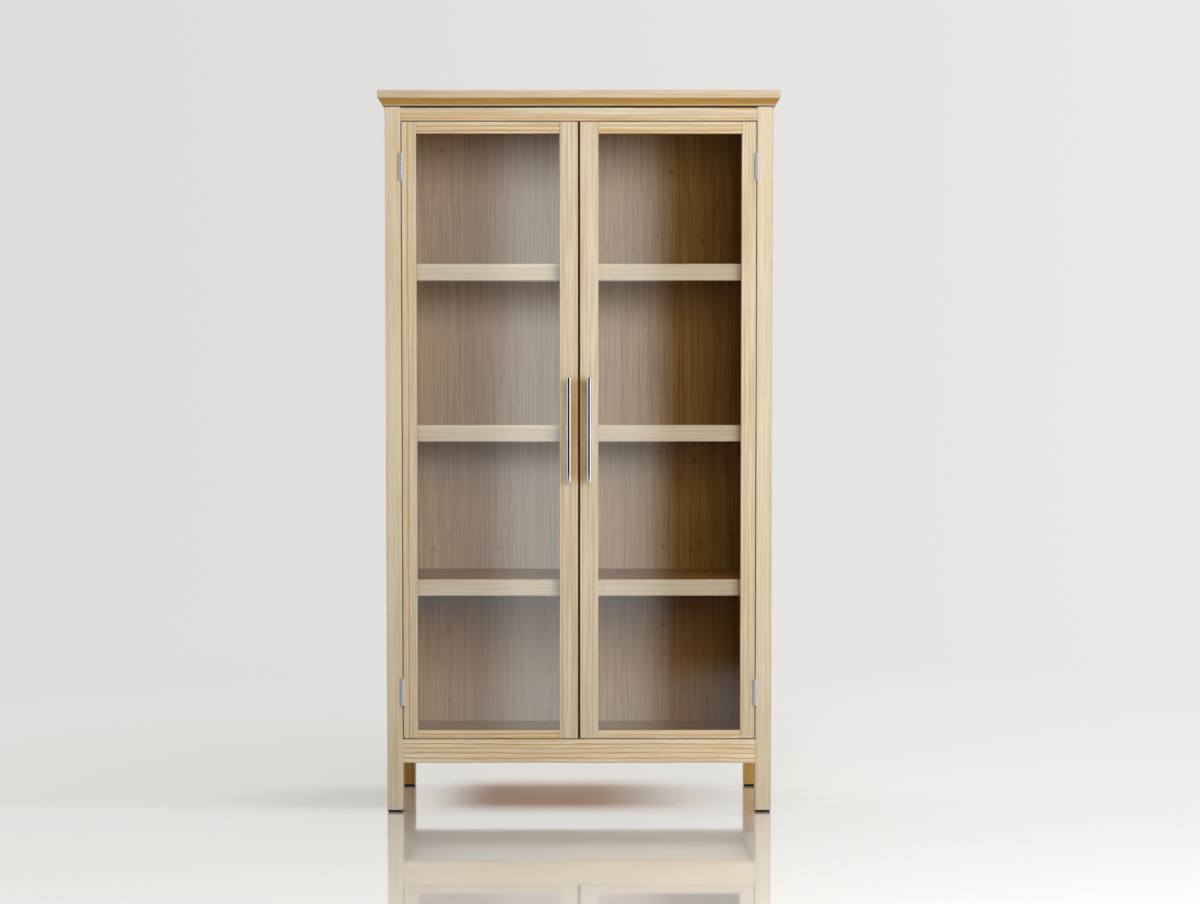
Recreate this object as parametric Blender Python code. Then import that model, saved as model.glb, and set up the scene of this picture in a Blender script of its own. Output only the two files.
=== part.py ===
"""Glazed display cabinet in solid pine, built from its separate pieces.

Metres, +Z up, the front towards -Y. Every piece is laid out from the front face of the frame
(y = 0), the middle of the width (x = 0) and the floor (z = 0). One empty then carries the whole
cabinet back, so that the origin is the middle of the floor that handles, cornice and back span.
"""

import math

import bmesh
import bpy
from mathutils import Matrix, Vector

# Overall
HEIGHT = 1.750
BODY_WIDTH = 0.937
BODY_DEPTH = 0.400

# Clearances between pieces
FIT = 0.0003
DOOR_GAP = 0.0023
CENTRE_GAP = 0.0048
STOP_GAP = 0.0008
KNUCKLE_GAP = 0.0004
LEAF_GAP = 0.0005
GLASS_GAP = 0.0008

# Posts and their pads
POST = 0.038
ARRIS = 0.0008
PAD_HEIGHT = 0.004
PAD_INSET = 0.002
PAD_EDGE = 0.0006

# Rails of the frame
LEG_CLEAR = 0.121
RAIL_THICKNESS = 0.022
HEAD_RAIL_HEIGHT = 0.031
BOTTOM_RAIL_HEIGHT = 0.0578
HEAD_REVEAL = 0.0026
STOP_DROP = 0.010
TENON_LENGTH = 0.015
TENON_THICKNESS = 0.010
TENON_SHOULDER = 0.005

# Side panels, back panel and boards
PANEL_THICKNESS = 0.016
PANEL_TONGUE = 0.008
BACK_THICKNESS = 0.006
BOTTOM_BOARD_THICKNESS = 0.018
BOTTOM_BOARD_DROP = 0.0118
CEILING_THICKNESS = 0.012
HOUSING_DEPTH = 0.005
HOUSING_STOP = 0.020
HOUSING_SHOULDER = 0.003

# Shelves
SHELF_TOPS = {"lower": 0.568, "middle": 0.946, "upper": 1.338}
SHELF_SETBACK = 0.035
SHELF_THICKNESS = 0.016
LIP_HEIGHT = 0.0405
LIP_THICKNESS = 0.020

# Cornice
SLAB_THICKNESS = 0.019
SLAB_OVERHANG = 0.016
SLAB_EDGE = 0.0012
SLAB_EDGE_STEPS = 2
MOULDING_HEIGHT = 0.018
MOULDING_OUT = 0.014
MOULDING_SEAT = 0.022
MOULDING_LIP = 0.001
FOOT_OUT = 0.0015
FOOT_HEIGHT = 0.0035
COVE_RADIUS = 0.0025
COVE_STEPS = 4

# Doors
DOOR_THICKNESS = 0.020
HINGE_STILE_WIDTH = 0.035
MEETING_STILE_WIDTH = 0.0444
DOOR_TOP_RAIL_WIDTH = 0.028
DOOR_BOTTOM_RAIL_WIDTH = 0.0195
DOOR_RAIL_SETBACK = 0.0015
DOOR_TENON_LENGTH = 0.022
DOOR_TENON_THICKNESS = 0.006
DOOR_TENON_SHOULDER = 0.003
REBATE_WIDTH = 0.007
REBATE_FRONT = 0.008
GLASS_THICKNESS = 0.004
BEAD_CHAMFER = 0.003

# Butt hinges
HINGE_LENGTH = 0.064
HINGE_FROM_TOP = 0.0767
HINGE_FROM_BOTTOM = 0.082
LEAF_THICKNESS = 0.002
LEAF_WIDTH = 0.018
KNUCKLE_COUNT = 5
KNUCKLE_RADIUS = 0.005
KNUCKLE_SIDES = 20
PIN_RADIUS = 0.002
PIN_HEAD_RADIUS = 0.0034
PIN_HEAD_HEIGHT = 0.0014
PIN_HEAD_STEPS = 3
PIN_SIDES = 16
LEAF_SCREWS = 3
LEAF_SCREW_EDGE = 0.011
SCREW_MOUTH_RADIUS = 0.0036
SCREW_HOLE_RADIUS = 0.0018
SCREW_SIDES = 12

# Bar handles
BAR_RADIUS = 0.006
BAR_LENGTH = 0.252
BAR_REACH = 0.035
BAR_EDGE = 0.0007
BAR_SIDES = 24
HANDLE_HEIGHT = 0.934
STANDOFF_SPACING = 0.192
STANDOFF_RADIUS = 0.004
STANDOFF_SIDES = 16

# Magnetic catch and its strike plates
CATCH_WIDTH = 0.062
CATCH_DEPTH = 0.016
CATCH_HEIGHT = 0.013
CATCH_EDGE = 0.001
MAGNET_WIDTH = 0.019
MAGNET_HEIGHT = 0.0044
MAGNET_RECESS = 0.0008
STRIKE_THICKNESS = 0.001
STRIKE_WIDTH = 0.024
STRIKE_HEIGHT = 0.012
STRIKE_CORNER = 0.002
STRIKE_CORNER_STEPS = 3
STRIKE_FROM_EDGE = 0.005

# A cutter starts this far outside what it cuts, and a tenon this far inside what it grows from
OVERSHOOT = 0.003

# Edges that turn by more than this are arrises; flatter ones belong to a round face
ARRIS_ANGLE = math.radians(40)

# Points nearer than this on the axis of a turned piece are one point
TURNED_MERGE = 0.00001

# Places that follow from the sizes above
HALF_WIDTH = BODY_WIDTH / 2
INNER = HALF_WIDTH - POST
REAR_POST_FRONT = BODY_DEPTH - POST
BACK_FRONT = BODY_DEPTH - BACK_THICKNESS
BACK_EDGE = HALF_WIDTH - MOULDING_SEAT - FIT
BOARD_REAR = BACK_FRONT - FIT
PANEL_OUTER = INNER + PANEL_THICKNESS
SIDE_RAIL_INNER = PANEL_OUTER + FIT
SLAB_BASE = HEIGHT - SLAB_THICKNESS
MOULDING_BASE = SLAB_BASE - FIT - MOULDING_HEIGHT
POST_TOP = MOULDING_BASE - FIT
HEAD_RAIL_TOP = POST_TOP - HEAD_REVEAL
HEAD_RAIL_BASE = HEAD_RAIL_TOP - HEAD_RAIL_HEIGHT
BOTTOM_RAIL_TOP = LEG_CLEAR + BOTTOM_RAIL_HEIGHT
BOTTOM_BOARD_TOP = BOTTOM_RAIL_TOP - BOTTOM_BOARD_DROP
BOTTOM_BOARD_BASE = BOTTOM_BOARD_TOP - BOTTOM_BOARD_THICKNESS
HOUSING_START = POST + HOUSING_STOP

DOOR_OUTER = INNER - DOOR_GAP
DOOR_INNER = CENTRE_GAP / 2
DOOR_BASE = BOTTOM_RAIL_TOP + DOOR_GAP
DOOR_TOP = HEAD_RAIL_BASE - DOOR_GAP
SIGHT_OUTER = DOOR_OUTER - HINGE_STILE_WIDTH
SIGHT_INNER = DOOR_INNER + MEETING_STILE_WIDTH
SIGHT_BASE = DOOR_BASE + DOOR_BOTTOM_RAIL_WIDTH
SIGHT_TOP = DOOR_TOP - DOOR_TOP_RAIL_WIDTH
STOP_BASE = HEAD_RAIL_BASE - STOP_DROP

AXIS_X = INNER - DOOR_GAP / 2
AXIS_Y = -KNUCKLE_RADIUS - FIT
BORE_RADIUS = PIN_RADIUS + FIT
LEAF_OUTER = LEAF_GAP / 2 + LEAF_THICKNESS
HINGE_MIDDLES = {
    "top": DOOR_TOP - HINGE_FROM_TOP - HINGE_LENGTH / 2,
    "bottom": DOOR_BASE + HINGE_FROM_BOTTOM + HINGE_LENGTH / 2,
}
KNUCKLE_LENGTH = (HINGE_LENGTH - (KNUCKLE_COUNT - 1) * KNUCKLE_GAP) / KNUCKLE_COUNT
BAR_X = (DOOR_INNER + SIGHT_INNER) / 2
BAR_Y = BAR_RADIUS - BAR_REACH

SIDES = {"left": -1, "right": 1}


# Scene, groups and finishes


class Group:
    """An empty that carries pieces, with its place in the cabinet's own layout."""

    def __init__(self, name, place, parent=None):
        self.place = Vector(place)
        self.empty = bpy.data.objects.new(name, None)
        self.empty.empty_display_size = POST
        bpy.context.scene.collection.objects.link(self.empty)
        if parent:
            self.empty.parent = parent.empty
            self.empty.location = self.place - parent.place


def clear_scene():
    for found in list(bpy.data.objects):
        bpy.data.objects.remove(found, do_unlink=True)


def linear(*levels):
    """The linear colour of a screen colour given as 0 to 255."""
    return [((level / 255 + 0.055) / 1.055) ** 2.4 for level in levels] + [1.0]


def finish(name, colour, roughness, metallic=0.0, transmission=0.0):
    """A material of one finish, made the first time that it is asked for."""
    made = bpy.data.materials.get(name)
    if made:
        return made
    made = bpy.data.materials.new(name)
    made.use_nodes = True
    made.diffuse_color = colour
    shader = made.node_tree.nodes["Principled BSDF"]
    shader.inputs["Base Color"].default_value = colour
    shader.inputs["Roughness"].default_value = roughness
    shader.inputs["Metallic"].default_value = metallic
    shader.inputs["Transmission Weight"].default_value = transmission
    return made


def pine():
    return finish("pine", linear(212, 190, 155), 0.5)


def pale_pine():
    return finish("pine_inside", linear(190, 170, 140), 0.55)


def steel():
    return finish("satin_steel", linear(185, 188, 192), 0.28, metallic=1.0)


def clear_glass():
    return finish("glass", linear(235, 240, 238), 0.03, transmission=1.0)


def black_rubber():
    return finish("pad_rubber", linear(24, 24, 25), 0.8)


def dark_plastic():
    return finish("catch_plastic", linear(60, 55, 50), 0.5)


# Making meshes


def closed_mesh(name, shape):
    """The finished mesh of a bmesh, with its faces turned outwards."""
    bmesh.ops.recalc_face_normals(shape, faces=shape.faces)
    mesh = bpy.data.meshes.new(name)
    shape.to_mesh(mesh)
    shape.free()
    return mesh


def boxes(name, *pairs):
    """One mesh of closed boxes, each given by its low and its high corner."""
    shape = bmesh.new()
    for low, high in pairs:
        low, high = Vector(low), Vector(high)
        corners = bmesh.ops.create_cube(shape, size=1)["verts"]
        bmesh.ops.scale(shape, vec=high - low, verts=corners)
        bmesh.ops.translate(shape, vec=(low + high) / 2, verts=corners)
    return closed_mesh(name, shape)


def prism(name, along, outline, start, end):
    """An outline extruded along axis 0, 1 or 2; its points hold the other two axes in order."""
    shape = bmesh.new()
    corners = []
    for point in outline:
        place = list(point)
        place.insert(along, start)
        corners.append(shape.verts.new(place))
    face = shape.faces.new(corners)
    grown = bmesh.ops.extrude_face_region(shape, geom=[face])["geom"]
    travel = Vector((0, 0, 0))
    travel[along] = end - start
    moved = [item for item in grown if isinstance(item, bmesh.types.BMVert)]
    bmesh.ops.translate(shape, vec=travel, verts=moved)
    return closed_mesh(name, shape)


def rods(name, along, sides, *rods_given):
    """One mesh of round rods or cones: (centre, start radius, end radius, length) along an axis."""
    turns = (
        Matrix.Rotation(math.pi / 2, 4, "Y"),
        Matrix.Rotation(-math.pi / 2, 4, "X"),
        Matrix.Identity(4),
    )
    shape = bmesh.new()
    for centre, start_radius, end_radius, length in rods_given:
        bmesh.ops.create_cone(
            shape,
            cap_ends=True,
            segments=sides,
            radius1=start_radius,
            radius2=end_radius,
            depth=length,
            matrix=Matrix.Translation(centre) @ turns[along],
        )
    mesh = closed_mesh(name, shape)
    mesh.shade_smooth()
    mesh.set_sharp_from_angle(angle=ARRIS_ANGLE)
    return mesh


def loft(name, sections, ring=False):
    """Closed sections of equal point counts, skinned one to the next and capped, or made a ring."""
    shape = bmesh.new()
    rows = [[shape.verts.new(point) for point in section] for section in sections]
    count = len(rows[0])
    pairs = list(zip(rows, rows[1:] + rows[:1])) if ring else list(zip(rows, rows[1:]))
    for first, second in pairs:
        for i in range(count):
            j = (i + 1) % count
            shape.faces.new((first[i], first[j], second[j], second[i]))
    if not ring:
        shape.faces.new(rows[0])
        shape.faces.new(rows[-1])
    return closed_mesh(name, shape)


# Placing and shaping pieces


def piece(name, mesh, material, group):
    """A named piece whose origin is the middle of its mesh, carried by its group's empty."""
    corners = [vertex.co for vertex in mesh.vertices]
    low = Vector(min(corner[axis] for corner in corners) for axis in range(3))
    high = Vector(max(corner[axis] for corner in corners) for axis in range(3))
    middle = (low + high) / 2
    mesh.transform(Matrix.Translation(-middle))
    made = bpy.data.objects.new(name, mesh)
    made.data.materials.append(material)
    made.parent = group.empty
    made.location = middle - group.place
    bpy.context.scene.collection.objects.link(made)
    return made


def ease(target, width, segments=1):
    """Takes the sharp arris off a piece before it is cut."""
    bevel = target.modifiers.new("ease", "BEVEL")
    bevel.width = width
    bevel.segments = segments
    bevel.limit_method = "ANGLE"
    bevel.angle_limit = ARRIS_ANGLE
    return target


def boolean(target, mesh, group, operation):
    """Cuts a mesh laid out in the cabinet from a piece, or joins it on."""
    tool = bpy.data.objects.new(mesh.name, mesh)
    tool.parent = group.empty
    tool.location = -group.place
    tool.hide_render = True
    tool.display_type = "WIRE"
    bpy.context.scene.collection.objects.link(tool)
    change = target.modifiers.new(mesh.name, "BOOLEAN")
    change.operation = operation
    change.solver = "EXACT"
    change.object = tool
    return target


def cut(target, mesh, group):
    return boolean(target, mesh, group, "DIFFERENCE")


def join(target, mesh, group):
    return boolean(target, mesh, group, "UNION")


def on_side(side, low, high):
    """A box laid out on the right (+X), brought to the given side."""
    ends = sorted((side * low[0], side * high[0]))
    return (ends[0], *low[1:]), (ends[1], *high[1:])


def grown(pair, by):
    """A box made larger by a clearance on every face."""
    low, high = pair
    return tuple(value - by for value in low), tuple(value + by for value in high)


# Tenons, which posts and rails both take from here


def rail_tenon(base, top, y_middle):
    """The right-hand tenon of a rail that runs along X, with its root in the rail."""
    return (
        (INNER - OVERSHOOT, y_middle - TENON_THICKNESS / 2, base + TENON_SHOULDER),
        (INNER + TENON_LENGTH, y_middle + TENON_THICKNESS / 2, top - TENON_SHOULDER),
    )


def side_rail_tenon(base, top, at_front):
    """A right-hand side rail's tenon into the front or the rear post, with its root in the rail."""
    middle = (SIDE_RAIL_INNER + HALF_WIDTH) / 2
    if at_front:
        ends = POST - TENON_LENGTH, POST + OVERSHOOT
    else:
        ends = REAR_POST_FRONT - OVERSHOOT, REAR_POST_FRONT + TENON_LENGTH
    return (
        (middle - TENON_THICKNESS / 2, ends[0], base + TENON_SHOULDER),
        (middle + TENON_THICKNESS / 2, ends[1], top - TENON_SHOULDER),
    )


FRONT_RAIL_SPANS = {
    "head": (HEAD_RAIL_BASE, HEAD_RAIL_TOP),
    "bottom": (LEG_CLEAR, BOTTOM_RAIL_TOP),
}
REAR_RAIL_SPAN = (LEG_CLEAR, BOTTOM_BOARD_BASE - FIT)
FRONT_RAIL_MIDDLE = RAIL_THICKNESS / 2
REAR_RAIL_MIDDLE = BOARD_REAR - RAIL_THICKNESS / 2


# Posts and pads


def hinge_pocket(middle, inner, outer):
    """The shallow recess that one leaf lies in, open to the front."""
    reach = HINGE_LENGTH / 2 + FIT
    return (
        (inner, -OVERSHOOT, middle - reach),
        (outer, LEAF_WIDTH + FIT, middle + reach),
    )


def panel_groove(at_front):
    """The groove in a right-hand post that takes the side panel's tongue."""
    low_x = PANEL_OUTER - PANEL_TONGUE - FIT
    if at_front:
        ends = POST - PANEL_TONGUE - FIT, POST + OVERSHOOT
    else:
        ends = REAR_POST_FRONT - OVERSHOOT, REAR_POST_FRONT + PANEL_TONGUE + FIT
    return (
        (low_x, ends[0], LEG_CLEAR - FIT),
        (PANEL_OUTER + FIT, ends[1], POST_TOP + OVERSHOOT),
    )


def post(name, side, at_front, cabinet):
    """A full-height corner post with its mortises, grooves, hinge pockets or rebate."""
    front = 0 if at_front else REAR_POST_FRONT
    body = on_side(side, (INNER, front, PAD_HEIGHT), (HALF_WIDTH, front + POST, POST_TOP))
    made = ease(piece(name, boxes(name, body), pine(), cabinet), ARRIS)
    recesses = [panel_groove(at_front)]
    for base, top in FRONT_RAIL_SPANS.values():
        recesses.append(grown(side_rail_tenon(base, top, at_front), FIT))
    if at_front:
        for base, top in FRONT_RAIL_SPANS.values():
            recesses.append(grown(rail_tenon(base, top, FRONT_RAIL_MIDDLE), FIT))
        for middle in HINGE_MIDDLES.values():
            recesses.append(hinge_pocket(middle, INNER - OVERSHOOT, AXIS_X + LEAF_OUTER + FIT))
    else:
        recesses.append(grown(rail_tenon(*REAR_RAIL_SPAN, REAR_RAIL_MIDDLE), FIT))
        recesses.append(
            (
                (INNER - OVERSHOOT, BACK_FRONT - FIT, LEG_CLEAR - FIT),
                (BACK_EDGE + FIT, BODY_DEPTH + OVERSHOOT, POST_TOP + OVERSHOOT),
            )
        )
    sided = [on_side(side, *recess) for recess in recesses]
    cut(made, boxes(name + "_recesses", *sided), cabinet)


def foot_pad(name, side, at_front, cabinet):
    front = 0 if at_front else REAR_POST_FRONT
    body = on_side(
        side,
        (INNER + PAD_INSET, front + PAD_INSET, 0),
        (HALF_WIDTH - PAD_INSET, front + POST - PAD_INSET, PAD_HEIGHT - FIT),
    )
    ease(piece(name, boxes(name, body), black_rubber(), cabinet), PAD_EDGE)


def posts(cabinet):
    for side_name, side in SIDES.items():
        for place in ("front", "rear"):
            post(f"post_{place}_{side_name}", side, place == "front", cabinet)
            foot_pad(f"foot_pad_{place}_{side_name}", side, place == "front", cabinet)


# Rails of the frame


def add_rail_tenons(made, span, y_middle, cabinet):
    tenon = rail_tenon(*span, y_middle)
    pairs = [on_side(side, *tenon) for side in SIDES.values()]
    join(made, boxes(made.name + "_tenons", *pairs), cabinet)


def head_rail(cabinet):
    """The rail over the doors, whose rebated back drops behind them as their stop."""
    stop_front = DOOR_THICKNESS + STOP_GAP
    outline = [
        (0, HEAD_RAIL_BASE),
        (0, HEAD_RAIL_TOP),
        (POST, HEAD_RAIL_TOP),
        (POST, STOP_BASE),
        (stop_front, STOP_BASE),
        (stop_front, HEAD_RAIL_BASE),
    ]
    mesh = prism("head_rail", 0, outline, FIT - INNER, INNER - FIT)
    made = ease(piece("head_rail", mesh, pine(), cabinet), ARRIS / 2)
    add_rail_tenons(made, FRONT_RAIL_SPANS["head"], FRONT_RAIL_MIDDLE, cabinet)


def bottom_rails(cabinet):
    """The front rail under the doors, grooved for the bottom board, and the rear rail under it."""
    front = (FIT - INNER, 0, LEG_CLEAR), (INNER - FIT, RAIL_THICKNESS, BOTTOM_RAIL_TOP)
    made = ease(piece("front_bottom_rail", boxes("front_rail", front), pine(), cabinet), ARRIS / 2)
    add_rail_tenons(made, FRONT_RAIL_SPANS["bottom"], FRONT_RAIL_MIDDLE, cabinet)
    cut(made, boxes("front_rail_groove", grown(bottom_board_tongue(), FIT)), cabinet)

    base, top = REAR_RAIL_SPAN
    rear = (FIT - INNER, BOARD_REAR - RAIL_THICKNESS, base), (INNER - FIT, BOARD_REAR, top)
    made = ease(piece("rear_bottom_rail", boxes("rear_rail", rear), pine(), cabinet), ARRIS / 2)
    add_rail_tenons(made, REAR_RAIL_SPAN, REAR_RAIL_MIDDLE, cabinet)


def side_rails(cabinet):
    """The outer rails of each side, flush with the posts and over the panel."""
    names = {"head": "top", "bottom": "bottom"}
    for side_name, side in SIDES.items():
        for level, (base, top) in FRONT_RAIL_SPANS.items():
            name = f"side_rail_{names[level]}_{side_name}"
            body = on_side(
                side,
                (SIDE_RAIL_INNER, POST + FIT, base),
                (HALF_WIDTH, REAR_POST_FRONT - FIT, top),
            )
            made = ease(piece(name, boxes(name, body), pine(), cabinet), ARRIS / 2)
            tenons = [
                on_side(side, *side_rail_tenon(base, top, at_front)) for at_front in (True, False)
            ]
            join(made, boxes(name + "_tenons", *tenons), cabinet)


# Panels and boards


def board_tongue(top, thickness):
    """The right-hand tongue of a board or shelf, which stands in the side panel's housing."""
    return (
        (INNER - OVERSHOOT, HOUSING_START, top - thickness + HOUSING_SHOULDER),
        (INNER + HOUSING_DEPTH - FIT, REAR_POST_FRONT - FIT, top - HOUSING_SHOULDER),
    )


def bottom_board_tongue():
    """The bottom board's front tongue, with its root in the board."""
    end = INNER - TENON_LENGTH
    return (
        (-end, RAIL_THICKNESS - HOUSING_DEPTH, BOTTOM_BOARD_BASE + HOUSING_SHOULDER),
        (end, RAIL_THICKNESS + OVERSHOOT, BOTTOM_BOARD_TOP - HOUSING_SHOULDER),
    )


BOARDS = {
    "bottom_board": (BOTTOM_BOARD_TOP, BOTTOM_BOARD_THICKNESS, RAIL_THICKNESS + FIT),
    "ceiling_board": (POST_TOP, CEILING_THICKNESS, POST + FIT),
}


def add_board_tongues(made, top, thickness, cabinet):
    tongue = board_tongue(top, thickness)
    pairs = [on_side(side, *tongue) for side in SIDES.values()]
    join(made, boxes(made.name + "_tongues", *pairs), cabinet)


def flat_boards(cabinet):
    """The bottom board and the ceiling board, housed in the side panels."""
    for name, (top, thickness, front) in BOARDS.items():
        body = (FIT - INNER, front, top - thickness), (INNER - FIT, BOARD_REAR, top)
        made = piece(name, boxes(name, body), pale_pine(), cabinet)
        add_board_tongues(made, top, thickness, cabinet)
        if name == "bottom_board":
            join(made, boxes("bottom_board_tongue", bottom_board_tongue()), cabinet)


def shelves(cabinet):
    """Three shelves, each a thin board with a deep front lip, flush on top."""
    for level, top in SHELF_TOPS.items():
        name = f"shelf_{level}"
        lip_rear = SHELF_SETBACK + LIP_THICKNESS
        outline = [
            (SHELF_SETBACK, top - LIP_HEIGHT),
            (SHELF_SETBACK, top),
            (BOARD_REAR, top),
            (BOARD_REAR, top - SHELF_THICKNESS),
            (lip_rear, top - SHELF_THICKNESS),
            (lip_rear, top - LIP_HEIGHT),
        ]
        mesh = prism(name, 0, outline, FIT - INNER, INNER - FIT)
        made = ease(piece(name, mesh, pale_pine(), cabinet), ARRIS)
        add_board_tongues(made, top, SHELF_THICKNESS, cabinet)


def side_panels(cabinet):
    """The panels between the posts, tongued into them and housed for boards and shelves."""
    tongue_inner = PANEL_OUTER - PANEL_TONGUE
    tongue_front = POST - PANEL_TONGUE
    tongue_rear = REAR_POST_FRONT + PANEL_TONGUE
    outline = [
        (INNER, POST + FIT),
        (tongue_inner, POST + FIT),
        (tongue_inner, tongue_front),
        (PANEL_OUTER, tongue_front),
        (PANEL_OUTER, tongue_rear),
        (tongue_inner, tongue_rear),
        (tongue_inner, REAR_POST_FRONT - FIT),
        (INNER, REAR_POST_FRONT - FIT),
    ]
    levels = [(top, thickness) for top, thickness, _ in BOARDS.values()]
    levels += [(top, SHELF_THICKNESS) for top in SHELF_TOPS.values()]
    for side_name, side in SIDES.items():
        name = f"side_panel_{side_name}"
        sided = [(side * x, y) for x, y in outline]
        made = piece(name, prism(name, 2, sided, LEG_CLEAR, POST_TOP), pale_pine(), cabinet)
        housings = []
        for top, thickness in levels:
            low, high = grown(board_tongue(top, thickness), FIT)
            housings.append(on_side(side, low, (high[0], high[1] + OVERSHOOT, high[2])))
        cut(made, boxes(name + "_housings", *housings), cabinet)


def back_panel(cabinet):
    """The thin back in the rear posts' rebates, between the cornice's returns and up to the slab."""
    body = (-BACK_EDGE, BACK_FRONT, LEG_CLEAR), (BACK_EDGE, BODY_DEPTH, SLAB_BASE - FIT)
    piece("back_panel", boxes("back_panel", body), pale_pine(), cabinet)


# Cornice


def moulding_profile():
    """(outward, up) points of the moulding: foot, small cove, long slope, lip and flat top."""
    slope_out = MOULDING_OUT - FOOT_OUT - COVE_RADIUS
    slope_up = MOULDING_HEIGHT - MOULDING_LIP - FOOT_HEIGHT
    reach = math.hypot(slope_out, slope_up)
    turn = math.atan2(slope_out, slope_up) + math.asin(COVE_RADIUS / reach)
    cove = []
    for step in range(COVE_STEPS + 1):
        angle = turn * step / COVE_STEPS
        cove.append(
            (
                FOOT_OUT + COVE_RADIUS * (1 - math.cos(angle)),
                FOOT_HEIGHT + COVE_RADIUS * math.sin(angle),
            )
        )
    return [
        (-MOULDING_SEAT, 0),
        (FOOT_OUT, 0),
        *cove,
        (MOULDING_OUT, MOULDING_HEIGHT - MOULDING_LIP),
        (MOULDING_OUT, MOULDING_HEIGHT),
        (-MOULDING_SEAT, MOULDING_HEIGHT),
    ]


def cornice(cabinet):
    """Mitred mouldings on the posts, and the slab that they carry."""
    profile = moulding_profile()
    mitre = FIT / math.sqrt(2)
    front = [
        [
            (side * (HALF_WIDTH + out - mitre), -out, MOULDING_BASE + up)
            for out, up in profile
        ]
        for side in SIDES.values()
    ]
    piece("cornice_front", loft("cornice_front", front), pine(), cabinet)
    for side_name, side in SIDES.items():
        name = f"cornice_{side_name}"
        returned = [
            [(side * (HALF_WIDTH + out), mitre - out, MOULDING_BASE + up) for out, up in profile],
            [(side * (HALF_WIDTH + out), BODY_DEPTH, MOULDING_BASE + up) for out, up in profile],
        ]
        piece(name, loft(name, returned), pine(), cabinet)
    edge = HALF_WIDTH + SLAB_OVERHANG
    slab = (-edge, -SLAB_OVERHANG, SLAB_BASE), (edge, BODY_DEPTH, HEIGHT)
    ease(piece("top_slab", boxes("top_slab", slab), pine(), cabinet), SLAB_EDGE, SLAB_EDGE_STEPS)


# Doors


def door_members(side, group, side_name):
    """The stiles and rails of one door, all rebated for its glass."""
    rail_ends = SIGHT_INNER + FIT, SIGHT_OUTER - FIT
    tenon_front = REBATE_FRONT - OVERSHOOT
    tenon_rear = tenon_front + DOOR_TENON_THICKNESS
    tenon_ends = SIGHT_INNER - DOOR_TENON_LENGTH, SIGHT_OUTER + DOOR_TENON_LENGTH
    spans = {
        "top": (SIGHT_TOP, DOOR_TOP),
        "bottom": (DOOR_BASE, SIGHT_BASE),
    }
    tenon_spans = {
        "top": (SIGHT_TOP + REBATE_WIDTH + DOOR_TENON_SHOULDER, DOOR_TOP - DOOR_TENON_SHOULDER),
        "bottom": (DOOR_BASE + DOOR_TENON_SHOULDER, SIGHT_BASE - REBATE_WIDTH - DOOR_TENON_SHOULDER),
    }
    rebate = on_side(
        side,
        (SIGHT_INNER - REBATE_WIDTH, REBATE_FRONT, SIGHT_BASE - REBATE_WIDTH),
        (SIGHT_OUTER + REBATE_WIDTH, DOOR_THICKNESS + OVERSHOOT, SIGHT_TOP + REBATE_WIDTH),
    )
    tenons = {
        "inner": {
            level: ((tenon_ends[0], tenon_front, base), (rail_ends[0] + OVERSHOOT, tenon_rear, top))
            for level, (base, top) in tenon_spans.items()
        },
        "outer": {
            level: ((rail_ends[1] - OVERSHOOT, tenon_front, base), (tenon_ends[1], tenon_rear, top))
            for level, (base, top) in tenon_spans.items()
        },
    }
    stiles = {
        "meeting_stile": ((DOOR_INNER, SIGHT_INNER), "inner"),
        "hinge_stile": ((SIGHT_OUTER, DOOR_OUTER), "outer"),
    }
    for kind, ((inner, outer), joint_side) in stiles.items():
        name = f"{kind}_{side_name}"
        body = on_side(side, (inner, 0, DOOR_BASE), (outer, DOOR_THICKNESS, DOOR_TOP))
        made = ease(piece(name, boxes(name, body), pine(), group), ARRIS)
        cut(made, boxes(name + "_rebate", rebate), group)
        recesses = [grown(tenon, FIT) for tenon in tenons[joint_side].values()]
        if kind == "hinge_stile":
            for middle in HINGE_MIDDLES.values():
                pocket = hinge_pocket(middle, AXIS_X - LEAF_OUTER - FIT, DOOR_OUTER + OVERSHOOT)
                recesses.append(pocket)
        sided = [on_side(side, *recess) for recess in recesses]
        cut(made, boxes(name + "_recesses", *sided), group)
    for level, (base, top) in spans.items():
        name = f"door_rail_{level}_{side_name}"
        body = on_side(
            side,
            (rail_ends[0], DOOR_RAIL_SETBACK, base),
            (rail_ends[1], DOOR_THICKNESS, top),
        )
        made = ease(piece(name, boxes(name, body), pine(), group), ARRIS / 2)
        cut(made, boxes(name + "_rebate", rebate), group)
        pairs = [on_side(side, *tenons[end][level]) for end in ("inner", "outer")]
        join(made, boxes(name + "_tenons", *pairs), group)


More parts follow.
